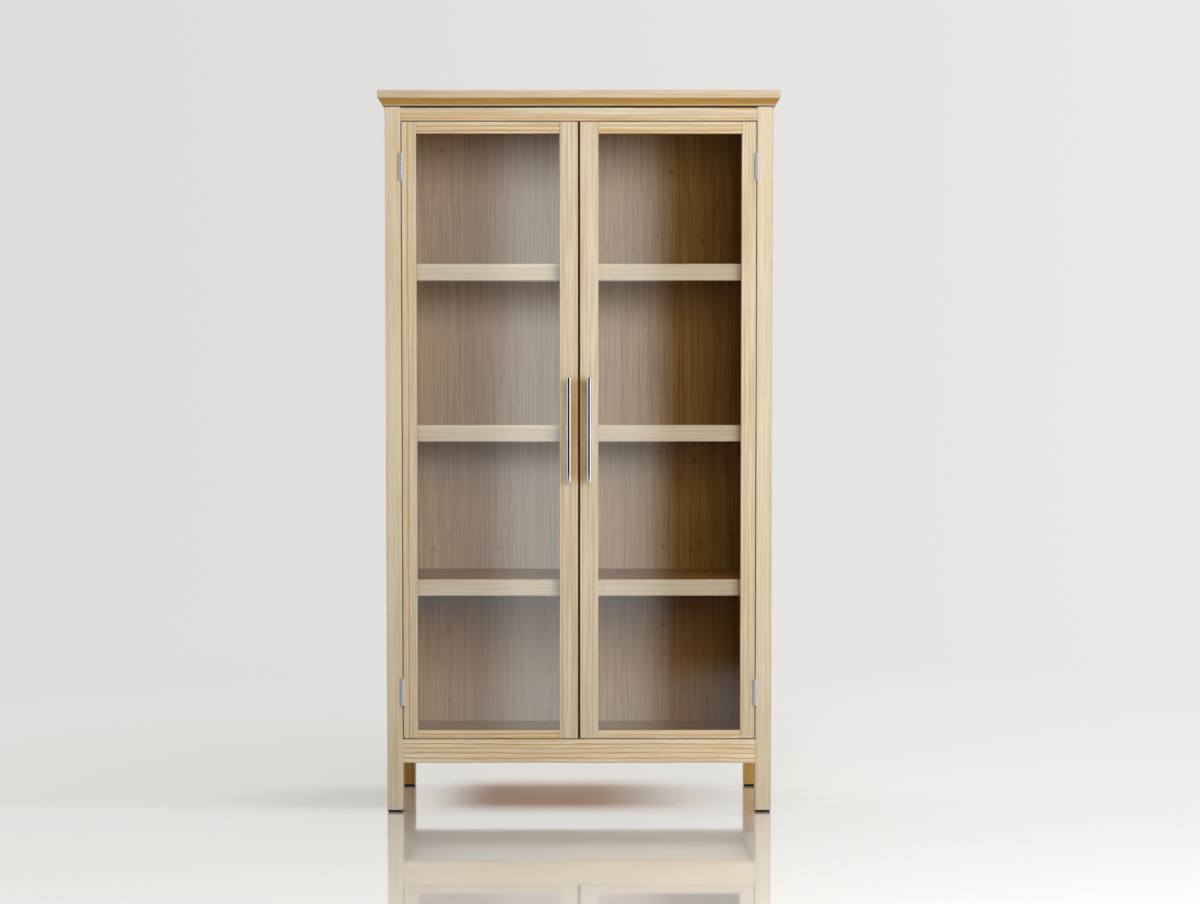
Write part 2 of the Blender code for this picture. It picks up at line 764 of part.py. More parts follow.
def door_glazing(side, group, side_name):
    """The pane in its rebate, and the mitred bead that holds it from behind."""
    lap = REBATE_WIDTH - GLASS_GAP
    glass_front = REBATE_FRONT + FIT
    pane = on_side(
        side,
        (SIGHT_INNER - lap, glass_front, SIGHT_BASE - lap),
        (SIGHT_OUTER + lap, glass_front + GLASS_THICKNESS, SIGHT_TOP + lap),
    )
    name = f"glass_{side_name}"
    piece(name, boxes(name, pane), clear_glass(), group)

    bead_front = glass_front + GLASS_THICKNESS + FIT
    depth = REBATE_WIDTH - FIT
    profile = [
        (FIT, bead_front),
        (depth, bead_front),
        (depth, DOOR_THICKNESS),
        (BEAD_CHAMFER + FIT, DOOR_THICKNESS),
        (FIT, DOOR_THICKNESS - BEAD_CHAMFER),
    ]
    corners = [
        (SIGHT_INNER, -1, SIGHT_BASE, -1),
        (SIGHT_OUTER, 1, SIGHT_BASE, -1),
        (SIGHT_OUTER, 1, SIGHT_TOP, 1),
        (SIGHT_INNER, -1, SIGHT_TOP, 1),
    ]
    sections = [
        [(side * (x + x_out * out), y, z + z_out * out) for out, y in profile]
        for x, x_out, z, z_out in corners
    ]
    name = f"glazing_bead_{side_name}"
    piece(name, loft(name, sections, ring=True), pine(), group)


# Hinges


def knuckle_spans(middle, first):
    """The (base, top) of every other knuckle of a hinge, counted from its foot."""
    foot = middle - HINGE_LENGTH / 2
    step = KNUCKLE_LENGTH + KNUCKLE_GAP
    return [
        (foot + step * i, foot + step * i + KNUCKLE_LENGTH)
        for i in range(first, KNUCKLE_COUNT, 2)
    ]


def leaf_outline(middle, spans):
    """(y, z) outline of a leaf: a plate with a tab that reaches into each of its knuckles."""
    foot, head = middle - HINGE_LENGTH / 2, middle + HINGE_LENGTH / 2
    tab_front = AXIS_Y + (BORE_RADIUS + KNUCKLE_RADIUS) / 2
    plate_front = AXIS_Y + KNUCKLE_RADIUS + 2 * FIT
    outline = [(LEAF_WIDTH, foot)]
    if spans[0][0] > foot:
        outline.append((plate_front, foot))
    for base, top in spans:
        if base > foot:
            outline.append((plate_front, base))
        outline += [(tab_front, base), (tab_front, top)]
        if top < head - FIT:
            outline.append((plate_front, top))
    if spans[-1][1] < head - FIT:
        outline.append((plate_front, head))
    return outline + [(LEAF_WIDTH, head)]


def leaf(name, side, direction, middle, first, group):
    """One leaf, in the post (direction 1) or on the door (-1), with knuckles, bore and holes."""
    axis = side * AXIS_X
    facing = side * direction
    inner = axis + facing * LEAF_GAP / 2
    outer = axis + facing * LEAF_OUTER
    spans = knuckle_spans(middle, first)
    plate = prism(name, 0, leaf_outline(middle, spans), inner, outer)
    made = piece(name, plate, steel(), group)
    barrel = [
        ((axis, AXIS_Y, (base + top) / 2), KNUCKLE_RADIUS, KNUCKLE_RADIUS, top - base)
        for base, top in spans
    ]
    join(made, rods(name + "_knuckles", 2, KNUCKLE_SIDES, *barrel), group)
    bore = ((axis, AXIS_Y, middle), BORE_RADIUS, BORE_RADIUS, HINGE_LENGTH + 2 * OVERSHOOT)
    cut(made, rods(name + "_bore", 2, PIN_SIDES, bore), group)
    radii = [SCREW_MOUTH_RADIUS, SCREW_HOLE_RADIUS]
    if facing < 0:
        radii.reverse()
    spacing = HINGE_LENGTH / LEAF_SCREWS
    holes = [
        (
            ((inner + outer) / 2, LEAF_SCREW_EDGE, middle + spacing * (i - (LEAF_SCREWS - 1) / 2)),
            *radii,
            LEAF_THICKNESS + 2 * FIT,
        )
        for i in range(LEAF_SCREWS)
    ]
    cut(made, rods(name + "_screw_holes", 0, SCREW_SIDES, *holes), group)


def hinge_pin(name, side, middle, cabinet):
    """A turned pin with a domed head over each end of the knuckles."""
    end = HINGE_LENGTH / 2 + FIT
    upper = [(0, end + PIN_HEAD_HEIGHT)]
    for step in range(1, PIN_HEAD_STEPS + 1):
        turn = math.pi / 2 * step / PIN_HEAD_STEPS
        upper.append((PIN_HEAD_RADIUS * math.sin(turn), end + PIN_HEAD_HEIGHT * math.cos(turn)))
    upper.append((PIN_RADIUS, end))
    lower = [(radius, -height) for radius, height in reversed(upper)]
    made = turned(name, upper + lower, PIN_SIDES, steel(), cabinet)
    made.location = Vector((side * AXIS_X, AXIS_Y, middle)) - cabinet.place


def turned(name, profile, sides, material, group):
    """A (radius, height) profile turned round Z, read down its outer side."""
    shape = bmesh.new()
    points = [shape.verts.new((radius, 0, height)) for radius, height in profile]
    for first, second in zip(points, points[1:]):
        shape.edges.new((first, second))
    mesh = bpy.data.meshes.new(name)
    shape.to_mesh(mesh)
    shape.free()
    made = bpy.data.objects.new(name, mesh)
    made.data.materials.append(material)
    made.parent = group.empty
    bpy.context.scene.collection.objects.link(made)
    screw = made.modifiers.new("turn", "SCREW")
    screw.steps = sides
    screw.render_steps = sides
    screw.use_merge_vertices = True
    screw.merge_threshold = TURNED_MERGE
    screw.use_smooth_shade = True
    return made


def hinges(side_name, side, cabinet, door):
    for level, middle in HINGE_MIDDLES.items():
        label = f"{level}_{side_name}"
        leaf(f"hinge_frame_leaf_{label}", side, 1, middle, 0, cabinet)
        leaf(f"hinge_door_leaf_{label}", side, -1, middle, 1, door)
        hinge_pin(f"hinge_pin_{label}", side, middle, cabinet)


# Handles and catch


def handle(side_name, side, door):
    """A round bar on two standoffs, whose ends are coped to it."""
    half = BAR_LENGTH / 2
    profile = [
        (0, half),
        (BAR_RADIUS - BAR_EDGE, half),
        (BAR_RADIUS, half - BAR_EDGE),
        (BAR_RADIUS, BAR_EDGE - half),
        (BAR_RADIUS - BAR_EDGE, -half),
        (0, -half),
    ]
    bar = turned(f"handle_bar_{side_name}", profile, BAR_SIDES, steel(), door)
    centre = Vector((side * BAR_X, BAR_Y, HANDLE_HEIGHT))
    bar.location = centre - door.place
    length = -FIT - BAR_Y
    seat_length = 2 * (STANDOFF_RADIUS + OVERSHOOT)
    for level, up in (("lower", -1), ("upper", 1)):
        name = f"handle_standoff_{level}_{side_name}"
        height = HANDLE_HEIGHT + up * STANDOFF_SPACING / 2
        place = (centre.x, BAR_Y + length / 2, height)
        mesh = rods(name, 1, STANDOFF_SIDES, (place, STANDOFF_RADIUS, STANDOFF_RADIUS, length))
        made = piece(name, mesh, steel(), door)
        seat = (centre.x, BAR_Y, height), BAR_RADIUS + FIT, BAR_RADIUS + FIT, seat_length
        cut(made, rods(name + "_seat", 2, BAR_SIDES, seat), door)


def strike_middle(side):
    """The x of a strike plate's middle, which the magnet behind it shares."""
    return side * (DOOR_INNER + STRIKE_FROM_EDGE + STRIKE_WIDTH / 2)


def rounded_outline(low, high, radius, steps):
    """A rectangle's points with its corners rounded."""
    centres = [
        (high[0] - radius, high[1] - radius),
        (low[0] + radius, high[1] - radius),
        (low[0] + radius, low[1] + radius),
        (high[0] - radius, low[1] + radius),
    ]
    points = []
    for quarter, (x, z) in enumerate(centres):
        for step in range(steps + 1):
            angle = math.pi / 2 * (quarter + step / steps)
            points.append((x + radius * math.cos(angle), z + radius * math.sin(angle)))
    return points


def strike_plate(side_name, side, door):
    """The steel plate on the back of a meeting stile that the magnet pulls."""
    name = f"strike_plate_{side_name}"
    top = STOP_BASE - FIT
    x = strike_middle(side)
    low, high = (x - STRIKE_WIDTH / 2, top - STRIKE_HEIGHT), (x + STRIKE_WIDTH / 2, top)
    outline = rounded_outline(low, high, STRIKE_CORNER, STRIKE_CORNER_STEPS)
    front = DOOR_THICKNESS + FIT
    mesh = prism(name, 1, outline, front, front + STRIKE_THICKNESS)
    made = piece(name, mesh, steel(), door)
    middle = (x, front + STRIKE_THICKNESS / 2, top - STRIKE_HEIGHT / 2)
    hole = middle, SCREW_HOLE_RADIUS, SCREW_MOUTH_RADIUS, STRIKE_THICKNESS + 2 * FIT
    cut(made, rods(name + "_hole", 1, SCREW_SIDES, hole), door)


def magnetic_catch(cabinet):
    """A double catch under the head rail's stop, one magnet face for each door."""
    front = DOOR_THICKNESS + STRIKE_THICKNESS + 2 * FIT
    top = STOP_BASE - FIT
    base = top - CATCH_HEIGHT
    half = CATCH_WIDTH / 2
    body = (-half, front, base), (half, front + CATCH_DEPTH, top)
    mesh = boxes("magnetic_catch", body)
    made = ease(piece("magnetic_catch", mesh, dark_plastic(), cabinet), CATCH_EDGE)
    recesses = []
    for side in SIDES.values():
        x, z = strike_middle(side), (base + top) / 2
        low = x - MAGNET_WIDTH / 2, front - OVERSHOOT, z - MAGNET_HEIGHT / 2
        high = x + MAGNET_WIDTH / 2, front + MAGNET_RECESS, z + MAGNET_HEIGHT / 2
        recesses.append((low, high))
    cut(made, boxes("magnetic_catch_recesses", *recesses), cabinet)


def doors(cabinet):
    for side_name, side in SIDES.items():
        door = Group(f"door_axis_{side_name}", (side * AXIS_X, AXIS_Y, 0), cabinet)
        door_members(side, door, side_name)
        door_glazing(side, door, side_name)
        handle(side_name, side, door)
        strike_plate(side_name, side, door)
        hinges(side_name, side, cabinet, door)


def main():
    clear_scene()
    cabinet = Group("cabinet", (0, 0, 0))
    cabinet.empty.location.y = (BAR_REACH - BODY_DEPTH) / 2
    posts(cabinet)
    head_rail(cabinet)
    bottom_rails(cabinet)
    side_rails(cabinet)
    side_panels(cabinet)
    flat_boards(cabinet)
    shelves(cabinet)
    back_panel(cabinet)
    cornice(cabinet)
    doors(cabinet)
    magnetic_catch(cabinet)


main()
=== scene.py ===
"""Finishes, fittings and studio of a glazed pine display cabinet.

The packed cabinet comes in as a fixed frame, in metres, +Z up, the front towards -Y. Every wooden
board gets a pine of its own, cut from a round log with growth rings, fibres and knots. The steel
fittings and the small fasteners are modelled here, each in the place that the frame gives it.
"""

import math
import random

import bmesh
import bpy
from bpy.props import FloatProperty, FloatVectorProperty, IntProperty, PointerProperty
from mathutils import Matrix, Vector


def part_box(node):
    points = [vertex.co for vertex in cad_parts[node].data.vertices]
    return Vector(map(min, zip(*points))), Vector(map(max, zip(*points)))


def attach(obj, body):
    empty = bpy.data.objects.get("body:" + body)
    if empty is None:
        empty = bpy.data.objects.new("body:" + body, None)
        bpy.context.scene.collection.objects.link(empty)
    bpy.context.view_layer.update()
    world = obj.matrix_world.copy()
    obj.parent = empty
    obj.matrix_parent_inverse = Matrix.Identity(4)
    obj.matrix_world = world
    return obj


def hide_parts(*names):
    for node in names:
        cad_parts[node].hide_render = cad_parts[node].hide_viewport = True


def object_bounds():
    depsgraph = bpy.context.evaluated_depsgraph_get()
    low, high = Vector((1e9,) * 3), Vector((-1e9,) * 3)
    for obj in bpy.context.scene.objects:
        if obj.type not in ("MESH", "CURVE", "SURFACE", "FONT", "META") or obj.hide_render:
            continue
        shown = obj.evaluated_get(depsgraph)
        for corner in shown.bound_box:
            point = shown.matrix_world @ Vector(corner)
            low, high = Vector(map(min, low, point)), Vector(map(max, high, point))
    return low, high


bl_info = {
    "name": "Pine display cabinet",
    "version": (1, 0, 0),
    "blender": (4, 5, 0),
    "location": "3D View > Sidebar > Cabinet",
    "description": "Finishes, fittings and studio of a glazed pine display cabinet",
    "category": "Object",
}

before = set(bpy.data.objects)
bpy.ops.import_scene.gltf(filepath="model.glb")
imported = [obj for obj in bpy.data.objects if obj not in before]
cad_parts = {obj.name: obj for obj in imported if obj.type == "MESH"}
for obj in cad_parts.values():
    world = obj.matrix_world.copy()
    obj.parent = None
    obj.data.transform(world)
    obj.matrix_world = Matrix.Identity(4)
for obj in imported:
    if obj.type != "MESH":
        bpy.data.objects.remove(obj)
CAD_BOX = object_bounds()

SIDES = {"left": -1, "right": 1}
LEVELS = ("top", "bottom")
BAR_ENDS = ("lower", "upper")
DOOR_BODY = {"left": "door_left", "right": "door_right"}
CARCASS = "carcass"
X, Y, Z = range(3)
BACKWARDS = Matrix.Rotation(-math.pi / 2, 4, "X")

# A hair, by which touching pieces stand apart or a cutter is larger than what it makes room for,
# and how far the middle of a screw's face stands above its rim.
HAIR = 0.0001
SCREW_FACE = 0.00012

# The pin of a hinge: its shank's share of the head's radius, and how far it stands out at an end.
PIN_SHANK = 0.58
PIN_STUB = 0.0003

# The catch's screws and pole plates, as shares of its length or height: how far the screws lie
# from its middle, how far the plates lie from it sideways and up or down, and how long they are.
CATCH_SCREW = 0.40
POLE_ASIDE = 0.20
POLE_UP = 0.22
POLE_LENGTH = 0.26

# What is added to a far point's distance, to find the part of the backdrop that the floor takes
# its colour from there.
STUDIO = 5.2

# What shines sees round the cabinet: pale walls on the left and right, a dark room in front.
LEFT_WALL = (1.05, 1.05, 1.08)
RIGHT_WALL = (1.35, 1.35, 1.32)
DARK_ROOM = (0.004, 0.004, 0.005)

# The window that the panes mirror, a glowing card that paints a reflection on them: its place
# in front, its middle's height, and its size.
WINDOW_PLACE = -1.5
WINDOW_MIDDLE = 0.95
WINDOW_SIZE = (2, 1.9)

# Its brightness at the left, and how that changes to the right: from, to, and by how much.
WINDOW_LEVEL = 1.0
WINDOW_STEPS = (
    (-0.605, -0.479, 0.7), (-0.327, -0.150, 1.75), (-0.074, 0.077, -0.55), (0.077, 0.153, -0.50),
    (0.153, 0.311, -2.40),
)

# Dips in the window's glow that paint the shade under the head rail and each shelf into the
# reflection: the height of the top, the height of the foot, by how much they dim it at the top,
# and over what height that fades.
WINDOW_SHADE_DIPS = (
    (1.900, 1.384, 1.00, 0.29), (1.384, 0.892, 0.68, 0.157), (0.892, 0.418, 0.54, 0.113),
    (0.418, 0.244, 0.40, 0.40), (0.244, 0.034, 0.24, 9.0), (0.034, -0.2, 0.50, 9.0),
    (1.428, 1.384, 0.25, 9.0), (0.936, 0.892, 0.25, 9.0), (0.505, 0.464, 0.40, 9.0),
    (0.464, 0.418, 0.25, 9.0),
)


def screen(*levels):
    """The linear colour of a screen colour given as 0 to 255."""
    return tuple(((level / 255 + 0.055) / 1.055) ** 2.4 for level in levels)


def times(colour_of, factor):
    """A colour made darker or brighter by a factor."""
    return tuple(level * factor for level in colour_of)


def middle_of(node):
    low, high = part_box(node)
    return (low + high) / 2


def size_of(node):
    low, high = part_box(node)
    return high - low


# Settings that a user would change


def colour(name, description, default):
    return FloatVectorProperty(
        name=name, description=description, default=default, subtype="COLOR", size=3, min=0, max=1
    )


def length(name, description, default):
    return FloatProperty(
        name=name, description=description, default=default, min=0, unit="LENGTH", precision=4
    )


def share(name, description, default):
    return FloatProperty(
        name=name, description=description, default=default, min=0, max=1, subtype="FACTOR"
    )


class WoodSettings(bpy.types.PropertyGroup):
    """Colours and figure of the pine."""

    early: colour("Early wood", "The pale wood between the growth lines", screen(229, 216, 193))
    late: colour("Late wood", "The amber growth lines", screen(206, 157, 62))
    heart: colour("Warm wood", "The warmer tone that drifts through a board", screen(221, 198, 159))
    # Painted shade: the faces inside the cabinet made browner, as if in shade.
    inner: colour("Inner wood", "How much browner the boards inside are", (0.68, 0.485, 0.178))
    # Painted shade on the tops of the shelves and of the bottom board.
    seat: colour("Shelf wood", "How much browner the tops of the shelves are", (0.64, 0.43, 0.18))
    lip: colour("Shelf lips", "The pale tone in the lips of the shelves", (0.86, 0.86, 0.80))
    # Painted shade on the faces that look into the gaps between the parts.
    painted_gap_shade: colour("Sawn edges", "How much darker the edges in the gaps are", (0.85, 0.52, 0.22))
    # Painted shade under the cornice's slab.
    cove: colour("Cornice", "How much darker the cornice is under the slab", (0.62, 0.42, 0.105))
    # Painted shade on the rear legs, under the body.
    amber: colour("Amber wood", "How much darker the rear legs are", (0.95, 0.66, 0.26))
    knot: colour("Knots", "The core of a small knot", screen(128, 76, 28))
    # Painted shade: the dark colour in the gaps under the cornice and at the foot of the legs.
    gap: colour("Shadow gaps", "The dark stain in the gaps", screen(46, 18, 4))
    # A painted shadow of the handle bars on the doors.
    painted_bar_shadow: colour("Patina", "How much browner hands made the doors", (0.62, 0.44, 0.24))
    leaf: length("Leaf width", "Width of one leaf of the veneer on the panels", 0.088)
    knot_spacing: length("Knot spacing", "Mean distance of knots along a leaf", 0.19)
    roughness: share("Roughness", "Roughness of the matt lacquer", 0.46)
    relief: length("Relief", "Height of the fibres in the lacquered face", 0.00006)


class SteelSettings(bpy.types.PropertyGroup):
    """Colour and polish of the steel fittings."""

    tone: colour("Steel", "Colour of the polished bars", screen(236, 237, 239))
    zinc: colour("Zinc", "Colour of the hinges, screws and plates", screen(208, 214, 221))
    polished: share("Bar roughness", "Roughness of the polished bars", 0.05)
    rolled: share("Hinge roughness", "Roughness of the rolled hinges", 0.30)
    lustre: share("Hinge lustre", "How metallic the zinc of the hinges looks", 0.5)
    brushing: length("Brushing", "Depth of the fine lines along the steel", 0.0000015)


class FittingsSettings(bpy.types.PropertyGroup):
    """Sizes of the fittings and fasteners that aren't in the frame."""

    mirror: share("Pane mirror", "What one face of a pane mirrors, seen straight on", 0.09)
    leaf_thickness: length("Leaf thickness", "Thickness of a hinge leaf", 0.002)
    leaf_gap: length("Leaf gap", "Space between the two closed leaves", 0.0005)
    knuckle_gap: length("Knuckle gap", "Space between two knuckles", 0.0004)
    knuckles: IntProperty(name="Knuckles", description="Knuckles of one hinge", default=5, min=3)
    leaf_screws: IntProperty(name="Screws", description="Screws in one leaf", default=3, min=1)
    screw_edge: length("Screw line", "Distance of the screws from the face of the doors", 0.011)
    screw_head: length("Screw head", "Diameter of a countersunk head", 0.0068)
    screw_shank: length("Screw shank", "Diameter of the shank under the head", 0.0033)
    recess: length("Cross recess", "Length of the cross in a screw head", 0.0036)
    bar_edge: length("Bar edge", "Chamfer at the ends of a handle bar", 0.0008)
    washer: length("Washer", "Diameter of the washer behind a handle", 0.0100)
    washer_thickness: length("Washer thickness", "Thickness of that washer", 0.0010)
    pan_head: length("Pan head", "Diameter of a pan head", 0.0078)
    pan_height: length("Pan height", "Height of a pan head", 0.0024)
    pole: length("Pole plate", "Thickness of a pole plate of the catch", 0.0012)
    seal_depth: length("Seal depth", "Depth of the dust seal, front to back", 0.006)
    seal_setback: length("Seal setback", "From the face of the doors to the dust seal", 0.004)
    seal_seat: length("Seal seat", "Space round the dust seal on its own door", 0.0003)
    seal_clear: length("Seal clearance", "Space from the dust seal to the other door", 0.0004)


class StageSettings(bpy.types.PropertyGroup):
    """Camera, lamps and surroundings."""

    eye: FloatVectorProperty(
        name="Eye", description="Place of the camera", default=(0.0142, -5.2089, 0.9448),
        subtype="TRANSLATION", unit="LENGTH", size=3, precision=4,
    )
    pitch: FloatProperty(
        name="Pitch", description="How far the camera looks down", default=math.radians(2.489),
        subtype="ANGLE", unit="ROTATION",
    )
    lens: FloatProperty(name="Lens", description="Focal length in mm", default=62.1, min=10)
    shift: FloatVectorProperty(
        name="Shift", description="Shift of the lens, as a share of the picture's width",
        default=(0.0126, 0.0528), size=2, precision=4,
    )
    floor: colour("Floor", "The polished pale floor", screen(246, 245, 242))
    bounce: share("Bounce", "Share of its light that the floor throws back at the cabinet", 0.30)
    left_tone: colour("Left side", "Background on the left", screen(222, 221, 219))
    right_tone: colour("Right side", "Background on the right", screen(234, 233, 231))
    beside: colour("Shade beside", "What the floor is multiplied by beside it", (0.52, 0.47, 0.43))
    under: colour("Shade under", "What the floor is multiplied by under it", (0.46, 0.25, 0.11))
    # The window is a glowing card that paints a reflection on the panes.
    window: colour("Window", "Colour of the window that the panes mirror", (0.94, 0.985, 1.0))
    glare: FloatProperty(name="Glare", description="Strength of that window", default=0.5)
    fill: FloatProperty(name="Fill", description="Strength of the light all round", default=0.11)
    key: FloatProperty(name="Key", description="Power of the front lamp in watts", default=86)
    high: FloatProperty(
        name="High", description="Power of the lamp high in front, in watts", default=34
    )
    top: FloatProperty(name="Top", description="Strength of the light overhead", default=1.9)
    beneath: FloatProperty(
        name="Beneath", description="Power of the light off the floor below, in watts", default=0.46
    )


# Node trees as expressions


def joined_by(operation, swapped=False):
    """A method that joins two values by a Math node, the other one first if they are swapped."""

    def join(self, other):
        first, second = (other, self) if swapped else (self, other)
        return self.sheet.math(operation, first, second)

    return join


class Wire:
    """A socket of a node tree, on which arithmetic adds Math nodes."""

    def __init__(self, sheet, socket):
        self.sheet = sheet
        self.socket = socket

    __add__ = joined_by("ADD")
    __radd__ = joined_by("ADD", swapped=True)
    __sub__ = joined_by("SUBTRACT")
    __rsub__ = joined_by("SUBTRACT", swapped=True)
    __mul__ = joined_by("MULTIPLY")
    __rmul__ = joined_by("MULTIPLY", swapped=True)
    __truediv__ = joined_by("DIVIDE")
    __pow__ = joined_by("POWER")
    __lt__ = joined_by("LESS_THAN")
    __gt__ = joined_by("GREATER_THAN")

    def __abs__(self):
        return self.sheet.math("ABSOLUTE", self)

    def other(self, name):
        """Another output of the same node."""
        return Wire(self.sheet, self.socket.node.outputs[name])


class Sheet:
    """A node tree that is written as expressions."""

    def __init__(self, tree):
        self.tree = tree

    def feed(self, socket, value):
        if isinstance(value, Wire):
            self.tree.links.new(value.socket, socket)
        elif socket.type == "RGBA" and len(value) == 3:
            socket.default_value = (*value, 1)
        else:
            socket.default_value = value

    def node(self, kind, settings=None, inputs=None, output=0):
        """A new node of a kind, its settings made first, its sockets fed, as one of its outputs."""
        made = self.tree.nodes.new("ShaderNode" + kind)
        for name, value in (settings or {}).items():
            setattr(made, name, value)
        for name, value in (inputs or {}).items():
            self.feed(made.inputs[name], value)
        return Wire(self, made.outputs[output])

    def math(self, operation, first, second=0.0, clamp=False):
        settings = {"operation": operation, "use_clamp": clamp}
        return self.node("Math", settings, {0: first, 1: second})

    def clamp(self, value):
        return self.math("ADD", value, 0.0, clamp=True)

    def distance(self, across, ahead):
        return self.math("SQRT", across * across + ahead * ahead)

    def floor(self, value):
        return self.math("FLOOR", value)

    def largest(self, first, second):
        return self.math("MAXIMUM", first, second)

    def smallest(self, first, second):
        return self.math("MINIMUM", first, second)

    def ramp(self, value, low, high, start=0.0, end=1.0):
        """A smooth step from start at low to end at high."""
        inputs = {"Value": value, "From Min": low, "From Max": high, "To Min": start, "To Max": end}
        return self.node("MapRange", {"interpolation_type": "SMOOTHSTEP"}, inputs)

    def fall(self, value, low, high):
        """A smooth step from 1 at low to 0 at high."""
        return self.ramp(value, low, high, 1.0, 0.0)

    def split(self, vector):
        parts = self.node("SeparateXYZ", None, {0: vector})
        return parts, parts.other("Y"), parts.other("Z")

    def join(self, x, y, z):
        return self.node("CombineXYZ", None, {0: x, 1: y, 2: z})

    def place(self):
        return self.node("TexCoord", output="Object")

    def scaled(self, vector, scale, offset=(0, 0, 0)):
        return self.node("Mapping", None, {"Vector": vector, "Scale": scale, "Location": offset})

    def noise(self, vector, detail=2.0, roughness=0.5, output=0):
        inputs = {"Vector": vector, "Scale": 1.0, "Detail": detail, "Roughness": roughness}
        return self.node("TexNoise", None, inputs, output)

    def spots(self, scale, detail=2.0, roughness=0.5):
        """A noise in the piece's own metres."""
        return self.noise(self.scaled(self.place(), scale), detail, roughness)

    def chance(self, value):
        """A random number from 0 to 1 for each whole number."""
        return self.node("TexWhiteNoise", {"noise_dimensions": "1D"}, {"W": value})

    def mix(self, factor, first, second, blend="MIX"):
        settings = {"data_type": "RGBA", "blend_type": blend}
        made = self.node("Mix", settings, {"Factor": factor}, 2)
        self.feed(made.socket.node.inputs[6], first)
        self.feed(made.socket.node.inputs[7], second)
        return made

    def tint(self, factor, shade, colour_of):
        """A shade multiplied by a colour, as far as a factor says."""
        return self.mix(factor, shade, colour_of, "MULTIPLY")

    def principled(self):
        return Wire(self, self.tree.nodes["Principled BSDF"].outputs[0])

    def surface(self, shader):
        """Makes a shader what the material's surface shows."""
        self.feed(self.tree.nodes["Material Output"].inputs["Surface"], shader)

    def mix_shaders(self, factor, first, second):
        return self.node("MixShader", None, {0: factor, 1: first, 2: second})

    def bump(self, height, distance, strength=1.0):
        inputs = {"Height": height, "Distance": distance, "Strength": strength}
        return self.node("Bump", None, inputs)


def material(name):
    """A new material, its sheet and its Principled shader's sockets."""
    made = bpy.data.materials.new(name)
    made.use_nodes = True
    sheet = Sheet(made.node_tree)
    return made, sheet, made.node_tree.nodes["Principled BSDF"].inputs


# Pine


class Board:
    """How one board was cut from its log. Lengths are in metres, from the board's own middle."""

    def __init__(self, node, along, ring=0.004, strength=0.6, wander=0.003, pith=(-0.05, 0.04),
                 lean=(0.0, 0.01), leaves=False, knots=0.0, wood="plain", tone=1.0, mitred=False,
                 streaks=0.55, stain=0.74, fine=270, warm=0.6, edge=None):
        size = size_of(node)
        others = sorted({X, Y, Z} - {along}, key=lambda axis: (-round(size[axis], 4), axis == Y))
        chance = random.Random(node)
        side = chance.choice((-1, 1))
        self.node = node
        self.axes = (*others, along)
        self.middle = middle_of(node)
        self.half = size / 2
        self.ring = ring * chance.uniform(0.88, 1.12)
        self.strength = strength
        self.wander = wander
        self.pith = (side * pith[0] * chance.uniform(0.8, 1.3), pith[1] * chance.uniform(0.8, 1.3))
        self.lean = tuple(slope * chance.uniform(-1, 1) for slope in lean)
        self.leaves = leaves
        self.knots = knots
        self.wood = wood
        self.mitred = mitred
        self.tone = tone * chance.uniform(0.975, 1.02)
        self.seed = tuple(chance.uniform(3, 60) for _ in range(3))
        self.streaks = streaks
        self.stain = stain
        self.fine = fine
        self.warm = warm
        self.edge = edge
        self.veins = VEINS.get(node, ())


